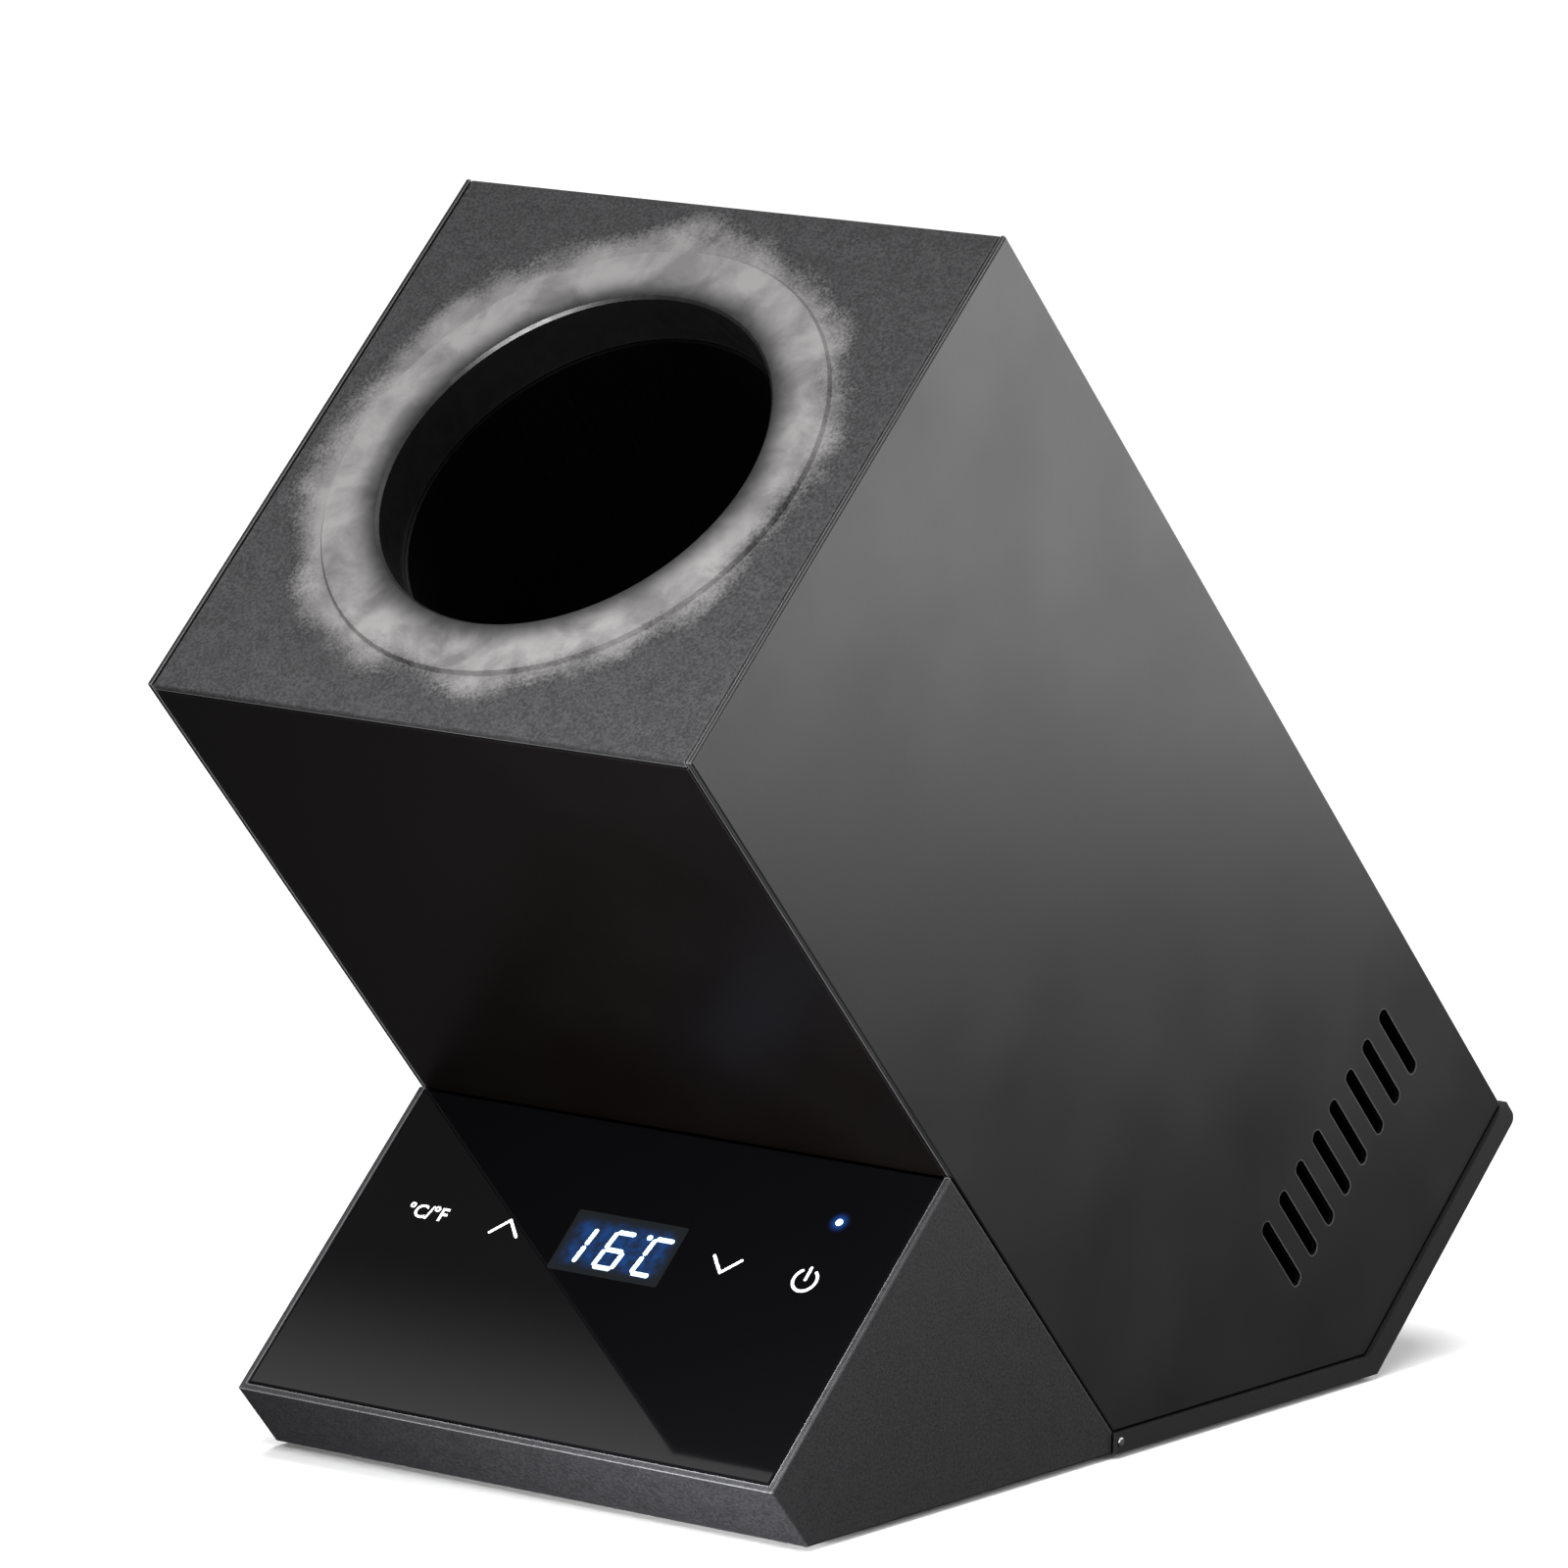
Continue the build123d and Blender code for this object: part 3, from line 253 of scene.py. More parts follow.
def addGrit(tree, coords, colour, roughness):
    grit = addNode(tree, "TexNoise", sockets={
        "Vector": coords, "Scale": perMm(grittyCoat["grit"]), "Detail": 3.0, "Roughness": 0.65})
    clump = addNode(tree, "TexNoise", sockets={"Vector": coords, "Scale": perMm(grittyCoat["clump"])})
    uneven = addNode(tree, "MapRange", sockets={
        "Value": clump.outputs["Fac"], **swing(0.0, grittyCoat["clumpSwing"])})
    speck = addNode(tree, "Math", {"operation": "ADD"}, {
        0: grit.outputs["Fac"], 1: uneven.outputs["Result"]})
    share = addNode(tree, "MapRange", sockets={
        "Value": speck.outputs[0], **spread(grittyCoat["darkTo"], grittyCoat["lightFrom"])})
    light = tuple(c * grittyCoat["lighter"] for c in srgb(colour)[:3]) + (1,)
    tone = addNode(tree, "Mix", {"data_type": "RGBA"}, {
        0: share.outputs["Result"], 6: srgb(colour), 7: light})
    rough = addNode(tree, "MapRange", sockets={
        "Value": grit.outputs["Fac"], **swing(roughness, grittyCoat["glossSwing"])})
    bumpy = addNode(tree, "Bump", sockets={
        "Height": grit.outputs["Fac"], "Strength": 0.75, "Distance": grittyCoat["depth"] * mm})
    return tone.outputs[2], rough.outputs["Result"], bumpy.outputs["Normal"]


def makeTexturedCoat(name, colour, roughness, specular):
    material, tree, surface, coords = newMaterial(name, {"Specular IOR Level": specular})
    tone, rough, normal = addGrit(tree, coords, colour, roughness)
    feed(tree, surface, {"Base Color": addPaintedEdgeHighlight(tree, tone), "Roughness": rough, "Normal": normal})
    return material


# hoar frost round the cold mouth: none at the bore, thick on the ring, then cloudy and ragged outwards; the
# fade from bare coat at the bore to thick frost is painted shade next to the bore
frost = {
    "clearInside": 43.2, "thickFrom": 52.0,         # mm from the well's axis
    "thinFrom": 53.5, "goneAt": 66.5,               # mm, before the ragged edge moves it in or out
    "atThin": 1.25, "atGone": -0.25,                # amounts there, before the crystals decide
    "drift": (-2.5, 1.5, 0),                        # mm, the cloud's middle from the axis
    "thicker": (0.0006, 0.0012, 0),                 # per mm, thicker towards the back right
    "billow": 20.0, "ragged": 9.5,                  # mm, the edge's waves and how far they reach
    "cloud": 11.0, "thinnest": 0.5,
    "crystal": 0.7, "stipple": 0.22, "depth": 0.12,
    "colour": "#706e6e", "dulling": 0.35,
}


def addFrost(tree, coords):
    wellMount = [m for m in frame["record"]["mounts"] if m["name"] == "bottle_well"][0]
    fromAxis = addNode(tree, "VectorMath", {"operation": "SUBTRACT"}, {0: coords, 1: wellMount["pos_m"]})
    upright = addNode(tree, "VectorRotate", {"rotation_type": "X_AXIS"}, {
        "Vector": fromAxis.outputs[0], "Angle": -leanAngle})
    flat = addNode(tree, "VectorMath", {"operation": "MULTIPLY"}, {
        0: upright.outputs[0], 1: (1 / mm, 1 / mm, 0)})
    reach = addNode(tree, "VectorMath", {"operation": "LENGTH"}, {0: flat.outputs[0]})
    # painted shade: the frost fades out towards the bore, leaving the coat dark beside it
    inner = addNode(tree, "MapRange", {"interpolation_type": "SMOOTHSTEP"}, {
        "Value": reach.outputs["Value"], **spread(frost["clearInside"], frost["thickFrom"])})
    fromCloud = addNode(tree, "VectorMath", {"operation": "DISTANCE"}, {
        0: flat.outputs[0], 1: frost["drift"]})
    billow = addNode(tree, "TexNoise", sockets={
        "Vector": coords, "Scale": perMm(frost["billow"]), "Detail": 3.0, "Roughness": 0.55})
    shift = addNode(tree, "MapRange", sockets={
        "Value": billow.outputs["Fac"], **spread(0.25, 0.75, -frost["ragged"] / 2, frost["ragged"] / 2)})
    wobbly = addNode(tree, "Math", {"operation": "ADD"}, {
        0: fromCloud.outputs["Value"], 1: shift.outputs["Result"]})
    outer = addNode(tree, "MapRange", sockets={
        "Value": wobbly.outputs[0],
        **spread(frost["thinFrom"], frost["goneAt"], frost["atThin"], frost["atGone"])})
    crystal = addNode(tree, "TexNoise", sockets={
        "Vector": coords, "Scale": perMm(frost["crystal"]), "Detail": 4.0, "Roughness": 0.7})
    # the cloud thins out into single crystals, so the fine noise decides most at its edge
    stipple = addNode(tree, "MapRange", sockets={
        "Value": crystal.outputs["Fac"], **swing(0.0, frost["stipple"])})
    grainy = addNode(tree, "Math", {"operation": "ADD"}, {
        0: outer.outputs["Result"], 1: stipple.outputs["Result"]})
    edge = addNode(tree, "MapRange", {"interpolation_type": "SMOOTHSTEP"}, {
        "Value": grainy.outputs[0], **spread(0.0, 1.0)})
    cloud = addNode(tree, "TexNoise", sockets={
        "Vector": coords, "Scale": perMm(frost["cloud"]), "Detail": 6.0, "Roughness": 0.6, "Distortion": 0.4})
    cloudy = addNode(tree, "MapRange", sockets={
        "Value": cloud.outputs["Fac"], **spread(0.36, 0.62, frost["thinnest"], 1.0)})
    lean = addNode(tree, "VectorMath", {"operation": "DOT_PRODUCT"}, {
        0: flat.outputs[0], 1: frost["thicker"]})
    dense = addNode(tree, "Math", {"operation": "ADD"}, {
        0: lean.outputs["Value"], 1: cloudy.outputs["Result"]})
    band = addNode(tree, "Math", {"operation": "MULTIPLY"}, {
        0: inner.outputs["Result"], 1: edge.outputs["Result"]})
    return addNode(tree, "Math", {"operation": "MULTIPLY", "use_clamp": True}, {
        0: band.outputs[0], 1: dense.outputs[0]}).outputs[0]


# under the frost, the top's coat is gritty and the moulded ring is smooth, with slow waves in its gloss
smoothMoulding = {"wave": 3.0, "glossSwing": 0.05, "depth": 0.01}


def makeFrostedCoat(name, colour, roughness, specular, gritty):
    material, tree, surface, coords = newMaterial(name, {"Specular IOR Level": specular})
    if gritty:
        tone, rough, normal = addGrit(tree, coords, colour, roughness)
        tone = addPaintedEdgeHighlight(tree, tone)
    else:
        smooth = addNode(tree, "TexNoise", sockets={
            "Vector": coords, "Scale": perMm(smoothMoulding["wave"])})
        gloss = addNode(tree, "MapRange", sockets={
            "Value": smooth.outputs["Fac"], **swing(roughness, smoothMoulding["glossSwing"])})
        bumpy = addNode(tree, "Bump", sockets={
            "Height": smooth.outputs["Fac"], "Strength": 0.5, "Distance": smoothMoulding["depth"] * mm})
        tone, rough, normal = srgb(colour), gloss.outputs["Result"], bumpy.outputs["Normal"]
    amount = addFrost(tree, coords)
    whitened = addNode(tree, "Mix", {"data_type": "RGBA"}, {0: amount, 6: tone, 7: srgb(frost["colour"])})
    dulled = addNode(tree, "Math", {"operation": "MULTIPLY_ADD"}, {0: amount, 1: frost["dulling"], 2: rough})
    raised = addNode(tree, "Bump", sockets={
        "Height": amount, "Strength": 0.5, "Distance": frost["depth"] * mm, "Normal": normal})
    feed(tree, surface, {
        "Base Color": whitened.outputs[2], "Roughness": dulled.outputs[0],
        "Normal": raised.outputs["Normal"]})
    return material


# toughened glass with black enamel behind it: mirror flat in front, faintly smeared by fingers
blackGlass = {"enamel": "#050506", "ior": 1.5, "smear": 22.0, "clean": 0.015, "smeared": 0.05}


def makeBlackGlass():
    material, tree, surface, coords = newMaterial("blackEnamelledGlass", {
        "Base Color": srgb(blackGlass["enamel"]), "IOR": blackGlass["ior"]})
    smear = addNode(tree, "TexNoise", sockets={
        "Vector": coords, "Scale": perMm(blackGlass["smear"]), "Detail": 4.0, "Roughness": 0.6})
    rough = addNode(tree, "MapRange", sockets={
        "Value": smear.outputs["Fac"], **spread(0.35, 0.75, blackGlass["clean"], blackGlass["smeared"])})
    feed(tree, surface, {"Roughness": rough.outputs["Result"]})
    return material


# moulded ABS: matte black, with the fine spark-eroded grain of its mould
mouldedAbs = {"specular": 0.4, "glossSwing": 0.06, "depth": 0.03}


def makeMouldedAbs(name, colour, roughness, grainSize=0.4):
    material, tree, surface, coords = newMaterial(name, {
        "Base Color": srgb(colour), "Specular IOR Level": mouldedAbs["specular"]})
    grain = addNode(tree, "TexNoise", sockets={"Vector": coords, "Scale": perMm(grainSize)})
    rough = addNode(tree, "MapRange", sockets={
        "Value": grain.outputs["Fac"], **swing(roughness, mouldedAbs["glossSwing"])})
    bumpy = addNode(tree, "Bump", sockets={
        "Height": grain.outputs["Fac"], "Strength": 0.5, "Distance": mouldedAbs["depth"] * mm})
    feed(tree, surface, {"Roughness": rough.outputs["Result"], "Normal": bumpy.outputs["Normal"]})
    return material


# metal with fine lines along one direction of the case, from rolling, drawing or turning
drawnMetal = {"glossSwing": 0.07, "depth": 0.01}


def makeDrawnMetal(name, colour, roughness, stretch, lineSize=0.25):
    material, tree, surface, coords = newMaterial(name, {"Base Color": srgb(colour), "Metallic": 1.0})
    upright = addNode(tree, "VectorRotate", {"rotation_type": "X_AXIS"}, {
        "Vector": coords, "Angle": -leanAngle})
    pulled = addNode(tree, "Mapping", sockets={"Vector": upright.outputs[0], "Scale": stretch})
    lines = addNode(tree, "TexNoise", sockets={
        "Vector": pulled.outputs[0], "Scale": perMm(lineSize), "Detail": 3.0})
    rough = addNode(tree, "MapRange", sockets={
        "Value": lines.outputs["Fac"], **swing(roughness, drawnMetal["glossSwing"])})
    bumpy = addNode(tree, "Bump", sockets={
        "Height": lines.outputs["Fac"], "Strength": 0.5, "Distance": drawnMetal["depth"] * mm})
    feed(tree, surface, {"Roughness": rough.outputs["Result"], "Normal": bumpy.outputs["Normal"]})
    return material


# vulcanised rubber and soft PVC: dull, with patches of pale dust
softRubber = {
    "specular": 0.3, "patch": 6.0, "dust": "#3a3a3a", "dustiest": 0.35,
    "grain": 0.3, "depth": 0.02, "glossier": 0.05, "duller": 0.1,
}


def makeRubber(name, colour, roughness=0.75):
    material, tree, surface, coords = newMaterial(name, {"Specular IOR Level": softRubber["specular"]})
    patches = addNode(tree, "TexNoise", sockets={
        "Vector": coords, "Scale": perMm(softRubber["patch"]), "Detail": 4.0})
    dust = addNode(tree, "MapRange", sockets={
        "Value": patches.outputs["Fac"], **spread(0.4, 0.75, 0.0, softRubber["dustiest"])})
    tone = addNode(tree, "Mix", {"data_type": "RGBA"}, {
        0: dust.outputs["Result"], 6: srgb(colour), 7: srgb(softRubber["dust"])})
    grain = addNode(tree, "TexNoise", sockets={"Vector": coords, "Scale": perMm(softRubber["grain"])})
    rough = addNode(tree, "MapRange", sockets={
        "Value": grain.outputs["Fac"],
        **spread(0.3, 0.7, roughness - softRubber["glossier"], roughness + softRubber["duller"])})
    bumpy = addNode(tree, "Bump", sockets={
        "Height": grain.outputs["Fac"], "Strength": 0.5, "Distance": softRubber["depth"] * mm})
    feed(tree, surface, {
        "Base Color": tone.outputs[2], "Roughness": rough.outputs["Result"],
        "Normal": bumpy.outputs["Normal"]})
    return material


# expanded polystyrene: white beads of about 3 mm pressed together, with greyer seams between them
foam = {"bead": 3.0, "roughness": 0.85, "white": "#f4f4f0", "seam": "#cfcfc9", "depth": 0.4}


def makeFoam():
    material, tree, surface, coords = newMaterial("expandedPolystyrene", {"Roughness": foam["roughness"]})
    beads = addNode(tree, "TexVoronoi", {"feature": "SMOOTH_F1"}, {
        "Vector": coords, "Scale": perMm(foam["bead"])})
    seam = addNode(tree, "MapRange", sockets={"Value": beads.outputs["Distance"], **spread(0.2, 0.8)})
    tone = addNode(tree, "Mix", {"data_type": "RGBA"}, {
        0: seam.outputs["Result"], 6: srgb(foam["white"]), 7: srgb(foam["seam"])})
    bumpy = addNode(tree, "Bump", sockets={
        "Height": beads.outputs["Distance"], "Strength": 0.6, "Distance": foam["depth"] * mm})
    feed(tree, surface, {"Base Color": tone.outputs[2], "Normal": bumpy.outputs["Normal"]})
    return material


# glass-fibre board under green solder mask: the weave shows faintly through the varnish
board = {
    "specular": 0.5, "weave": 0.8, "strand": "#0e4a25", "gap": "#115229",
    "varnish": 4.0, "glossy": 0.25, "dull": 0.4,
}


def makeBoard():
    material, tree, surface, coords = newMaterial("greenSolderMask", {
        "Specular IOR Level": board["specular"]})
    weave = addNode(tree, "TexChecker", sockets={
        "Vector": coords, "Scale": perMm(board["weave"]),
        "Color1": srgb(board["strand"]), "Color2": srgb(board["gap"])})
    varnish = addNode(tree, "TexNoise", sockets={"Vector": coords, "Scale": perMm(board["varnish"])})
    rough = addNode(tree, "MapRange", sockets={
        "Value": varnish.outputs["Fac"], **spread(0.3, 0.7, board["glossy"], board["dull"])})
    feed(tree, surface, {"Base Color": weave.outputs["Color"], "Roughness": rough.outputs["Result"]})
    return material


# unglazed alumina: chalk white, with tiny darker grains
ceramic = {"roughness": 0.6, "grain": 0.5, "dark": "#d9d8d2", "white": "#f0efea"}


def makeCeramic():
    material, tree, surface, coords = newMaterial("aluminaCeramic", {"Roughness": ceramic["roughness"]})
    grains = addNode(tree, "TexNoise", sockets={
        "Vector": coords, "Scale": perMm(ceramic["grain"]), "Detail": 3.0})
    share = addNode(tree, "MapRange", sockets={"Value": grains.outputs["Fac"], **spread(0.35, 0.6)})
    tone = addNode(tree, "Mix", {"data_type": "RGBA"}, {
        0: share.outputs["Result"], 6: srgb(ceramic["dark"]), 7: srgb(ceramic["white"])})
    feed(tree, surface, {"Base Color": tone.outputs[2]})
    return material


# enamelled copper wire: orange-brown turns, with the gaps between them in shade
woundCopper = {
    "metallic": 0.9, "roughness": 0.35, "turn": 2.5, "depth": 0.1, "gap": "#5b2c12", "wire": "#b8692f",
}


def makeWoundCopper():
    material, tree, surface, coords = newMaterial("enamelledCopperWire", {
        "Metallic": woundCopper["metallic"], "Roughness": woundCopper["roughness"]})
    turns = addNode(tree, "TexWave", {"bands_direction": "Y"}, {
        "Vector": coords, "Scale": perMm(woundCopper["turn"])})
    tone = addNode(tree, "Mix", {"data_type": "RGBA"}, {
        0: turns.outputs["Fac"], 6: srgb(woundCopper["gap"]), 7: srgb(woundCopper["wire"])})
    bumpy = addNode(tree, "Bump", sockets={
        "Height": turns.outputs["Fac"], "Strength": 0.6, "Distance": woundCopper["depth"] * mm})
    feed(tree, surface, {"Base Color": tone.outputs[2], "Normal": bumpy.outputs["Normal"]})
    return material


# a lit diode or display bar under the glass: blue-white, a little uneven in gloss
lit = {"lens": "#9fb8d0", "grain": 0.6, "roughness": 0.4, "glossSwing": 0.05}


def makeLit(name, colour, strength):
    material, tree, surface, coords = newMaterial(name, {
        "Base Color": srgb(lit["lens"]), "Emission Color": srgb(colour), "Emission Strength": strength})
    grain = addNode(tree, "TexNoise", sockets={"Vector": coords, "Scale": perMm(lit["grain"])})
    rough = addNode(tree, "MapRange", sockets={
        "Value": grain.outputs["Fac"], **swing(lit["roughness"], lit["glossSwing"])})
    feed(tree, surface, {"Roughness": rough.outputs["Result"]})
    return material


# white screen-printing ink on glass: opaque, with tiny gaps left by its mesh, and a painted glow that
# brightens it
ink = {
    "thin": "#c9c9c9", "full": "#f2f2f2", "mesh": 0.2,
    "roughness": 0.5, "glow": "#eef1f6", "strength": 0.7,
}


def makeInk():
    # painted glow: the printed ink emits a little light of its own
    material, tree, surface, coords = newMaterial("whitePrintedInk", {
        "Roughness": ink["roughness"],
        "Emission Color": srgb(ink["glow"]), "Emission Strength": ink["strength"]})
    mesh = addNode(tree, "TexNoise", sockets={"Vector": coords, "Scale": perMm(ink["mesh"])})
    share = addNode(tree, "MapRange", sockets={"Value": mesh.outputs["Fac"], **spread(0.3, 0.6)})
    tone = addNode(tree, "Mix", {"data_type": "RGBA"}, {
        0: share.outputs["Result"], 6: srgb(ink["thin"]), 7: srgb(ink["full"])})
    feed(tree, surface, {"Base Color": tone.outputs[2]})
    return material


finishes = {
    # painted shade: the side panels carry a darker copy of the back's satin coat; the front's near-black copy
    # is partly its black paint and partly painted shade
    "side": makeSatinCoat("satinPowderCoatSide", "#0d0d0e", 0.39),
    "back": makeSatinCoat("satinPowderCoatBack", "#1a1a1b", 0.45),
    "front": makeSatinCoat("satinBlackPowderCoat", "#040202", 0.4, 0.17),
    "top": makeFrostedCoat("texturedPowderCoatTop", "#242425", 0.5, 0.17, True),
    # painted shade: the wedge housing carries a darker copy of the top's textured coat
    "housing": makeTexturedCoat("texturedPowderCoatHousing", "#19191b", 0.5, 0.42),
    "rim": makeFrostedCoat("satinAbsRim", "#0d0d0e", 0.35, 0.5, False),
    "glass": makeBlackGlass(),
    "tray": makeMouldedAbs("mouldedAbsTray", "#060607", 0.55),
    "abs": makeMouldedAbs("mouldedAbsInside", "#0d0d0e", 0.5),
    "liner": makeDrawnMetal("blackAnodisedAluminium", "#1d1d1e", 0.45, (1, 1, 0.04)),
    "extrusion": makeDrawnMetal("extrudedAluminium", "#b4b7bb", 0.35, (0.03, 1, 1)),
    "steel": makeDrawnMetal("zincPlatedSteel", "#a9abae", 0.3, (1, 1, 0.3), 0.2),
    "darkSteel": makeDrawnMetal("blackOxideSteel", "#1b1b1c", 0.4, (1, 1, 0.3), 0.2),
    "bronze": makeDrawnMetal("sinteredBronze", "#8a6236", 0.45, (1, 1, 1)),
    "nickel": makeDrawnMetal("nickelPlatedBrass", "#b9ae94", 0.28, (1, 1, 1)),
    "rubber": makeRubber("vulcanisedRubber", "#101010"),
    "cable": makeRubber("pvcCableSheath", "#0c0c0d", 0.5),
    "foam": makeFoam(),
    "sponge": makeRubber("conductiveSponge", "#2c2c2e", 0.85),
    "board": makeBoard(),
    "ceramic": makeCeramic(),
    "copper": makeWoundCopper(),
    "ribbon": makeMouldedAbs("flatRibbonPvc", "#8d8f92", 0.5, 1.3),
    "segment": makeLit("litDisplayBar", "#d4ecff", 1.15),
    "led": makeLit("litDiode", "#e4f2ff", 1.5),
    "ink": makeInk(),
}
nodeFinishes = {
    "side": ["right_side_panel", "left_side_panel"],
    "back": ["back_panel"],
    "front": ["front_panel"],
    "top": ["top_plate"],
    "housing": ["control_housing"],
    "rim": ["rim_ring"],
    "glass": ["control_glass"],
    "tray": ["base_tray"],
    "abs": ["divider", "fan_frame", "fan_rotor", "dc_jack", "board_parts", "temperature_sensor"],
    "liner": ["bottle_liner", "heat_sink"],
    "extrusion": ["cold_block"],
    "steel": ["side_screws", "fan_shaft", "board_screws"],
    "darkSteel": ["back_screws", "housing_screws", "clamp_screws", "fan_screws"],
    "bronze": ["fan_bush"],
    "nickel": ["dc_jack_nut"],
    "rubber": ["bottle_pad", "feet", "cable_grommet"],
    "cable": ["peltier_lead", "fan_lead", "inlet_lead", "sensor_lead"],
    "foam": ["insulation_left", "insulation_right"],
    "sponge": ["touch_pads", "peltier_gasket"],
    "board": ["touch_board", "control_board"],
    "ceramic": ["peltier_module"],
    "copper": ["fan_stator"],
    "ribbon": ["display_ribbon"],
    "segment": ["display_module"],
    "led": ["status_led"],
}
for finish, names in nodeFinishes.items():
    for nodeName in names:
        slots = nodes[nodeName].data.materials
        for i in range(len(slots)):
            slots[i] = finishes[finish]
print("finishes made")

# the touch panel's printing and lights, on top of the glass
glassTop = spanAlong("control_glass", leanAxis)[1]
glassRear = spanAlong("control_glass", depthAxis)[1]
panel = {
    # places on the glass are across and down from the crease behind it, in mm
    "border": 0.7,                                          # from the crease to the glass's rear edge
    "unitsPlace": (-49.3, 31.1), "upPlace": (-27.9, 31.1), "downPlace": (28.9, 30.7),
    "powerPlace": (49.7, 30.7), "ledPlace": (50.0, 15.6),
    "stroke": 0.7, "strokeSides": 6, "inkThick": 0.03, "inkLift": 0.01,
    "chevron": (7.1, 3.8),
    "powerRadius": 3.15, "powerGap": 38, "powerSteps": 28,  # mm, degrees each side of the top, strokes
    "powerBarTop": 1.12, "powerBarFoot": 0.1,               # of the radius, mm
    "unitsHeight": 3.6, "unitsFont": 1.32, "unitsBold": 0.09, "unitsSteps": 3,
}


def beginFlat(name):
    # an empty mesh in edit mode, ready for strokes
    startClean()
    bpy.ops.mesh.primitive_plane_add(size=0.001)
    piece = bpy.context.object
    piece.name = name
    bpy.ops.object.mode_set(mode="EDIT")
    bpy.ops.mesh.select_all(action="SELECT")
    bpy.ops.mesh.delete(type="VERT")
    return piece


def addStroke(start, end, width, sides):
    # a straight pen stroke with round ends: a disc whose forward half is moved to the far end,
    # with this many sides to a quarter of the disc
    a, b = Vector((*start, 0)) * mm, Vector((*end, 0)) * mm
    along = b - a
    turn = math.atan2(along.y, along.x) + math.pi / (sides * 4)
    bpy.ops.mesh.select_all(action="DESELECT")
    bpy.ops.mesh.primitive_circle_add(
        vertices=sides * 4, radius=width * mm / 2, fill_type="NGON", location=a, rotation=(0, 0, turn))
    edit = bmesh.from_edit_mesh(bpy.context.object.data)
    for v in edit.verts:
        v.select = v.select and (v.co - a).dot(along) > 0
    edit.select_flush(False)
    bpy.ops.transform.translate(value=along)


def endFlat(piece, thick):
    bpy.ops.mesh.select_all(action="SELECT")
    bpy.ops.mesh.normals_make_consistent(inside=False)
    bpy.ops.object.mode_set(mode="OBJECT")
    pickOnly(piece)
    solid = piece.modifiers.new("thickness", "SOLIDIFY")
    solid.thickness = thick * mm
    solid.offset = 1
    applyModifiers(piece)


def onGlass(place, lift=0.0):
    x, down = place
    return x * mm, glassRear - (down - panel["border"]) * mm, glassTop + lift * mm


def addInkPiece(name, strokes, place):
    piece = beginFlat(name)
    for start, end in strokes:
        addStroke(start, end, panel["stroke"], panel["strokeSides"])
    endFlat(piece, panel["inkThick"])
    standOnCase(piece, *onGlass(place, panel["inkLift"]))
    finishPiece(piece, name, "cabinet", finishes["ink"])


def addChevrons():
    halfWide, halfTall = panel["chevron"][0] / 2, panel["chevron"][1] / 2
    for name, way, place in [("keyUp", 1, panel["upPlace"]), ("keyDown", -1, panel["downPlace"])]:
        tip, left, right = (0, way * halfTall), (-halfWide, -way * halfTall), (halfWide, -way * halfTall)
        addInkPiece(name, [(left, tip), (tip, right)], place)


def addPowerKey():
    radius = panel["powerRadius"] - panel["stroke"] / 2
    gap, steps = panel["powerGap"], panel["powerSteps"]
    angles = [math.radians(90 + gap + i * (360 - 2 * gap) / steps) for i in range(steps + 1)]
    ring = [(radius * math.cos(t), radius * math.sin(t)) for t in angles]
    bar = ((0, radius * panel["powerBarTop"]), (0, panel["powerBarFoot"]))
    addInkPiece("keyPower", [*zip(ring, ring[1:]), bar], panel["powerPlace"])


def addUnits():
    startClean()
    bpy.ops.object.text_add()
    piece = bpy.context.object
    piece.data.body = "°C/°F"
    piece.data.size = panel["unitsHeight"] * panel["unitsFont"] * mm
    piece.data.offset = panel["unitsBold"] * mm
    piece.data.align_x = "CENTER"
    piece.data.align_y = "CENTER"
    piece.data.extrude = panel["inkThick"] / 2 * mm
    piece.data.resolution_u = panel["unitsSteps"]
    pickOnly(piece)
    bpy.ops.object.convert(target="MESH")
    piece = bpy.context.object
    standOnCase(piece, *onGlass(panel["unitsPlace"], panel["inkLift"] + panel["inkThick"] / 2))
    finishPiece(piece, "keyUnits", "cabinet", finishes["ink"])


addChevrons()
addPowerKey()
addUnits()
print("key symbols printed")

# seven-segment display: two digits and a C with its degree dot, leaning to the right
display = {
    "place": (0, 32.0), "cell": (4.8, 9.2), "pitch": 10.0, "firstX": -8.9,      # mm
    "lean": 9.3,                                                                # degrees
    "bar": 1.2, "barSides": 3, "gap": 0.7, "thick": 0.03, "lift": 0.05,
    "dot": 1.4, "dotLong": 0.05, "dotSides": 4, "dotX": -1.7,
}
# the display's tinted cover seen through the glass, with a painted glow: deep blue round the lit bars, dim
# grey towards its border
window = {
    "place": (1.5, 31.2), "size": (28.7, 15.5), "corner": 0.6, "cornerSteps": 3, "thick": 0.02, "lift": 0.005,
    "cover": "#0b0d10", "roughness": 0.08, "border": "#171918", "glow": "#123f7c",
    "fadeX": (0.7, 0.98), "fadeY": (0.45, 0.9),             # of the half width and the half height
    "blotch": 2.2, "faintest": 0.2,
}
barEnds = {
    "a": ((0, 2), (1, 2)), "b": ((1, 2), (1, 1)), "c": ((1, 1), (1, 0)), "d": ((0, 0), (1, 0)),
    "e": ((0, 0), (0, 1)), "f": ((0, 1), (0, 2)), "g": ((0, 1), (1, 1)),
}
litBars = ["bc", "acdefg", "adef"]


def cellPoint(corner, index):
    width, height = display["cell"]
    x, y = (corner[0] - 0.5) * width, (corner[1] - 1) * height / 2
    middle = display["firstX"] + index * display["pitch"]
    return Vector((middle + x + y * math.tan(math.radians(display["lean"])), y))


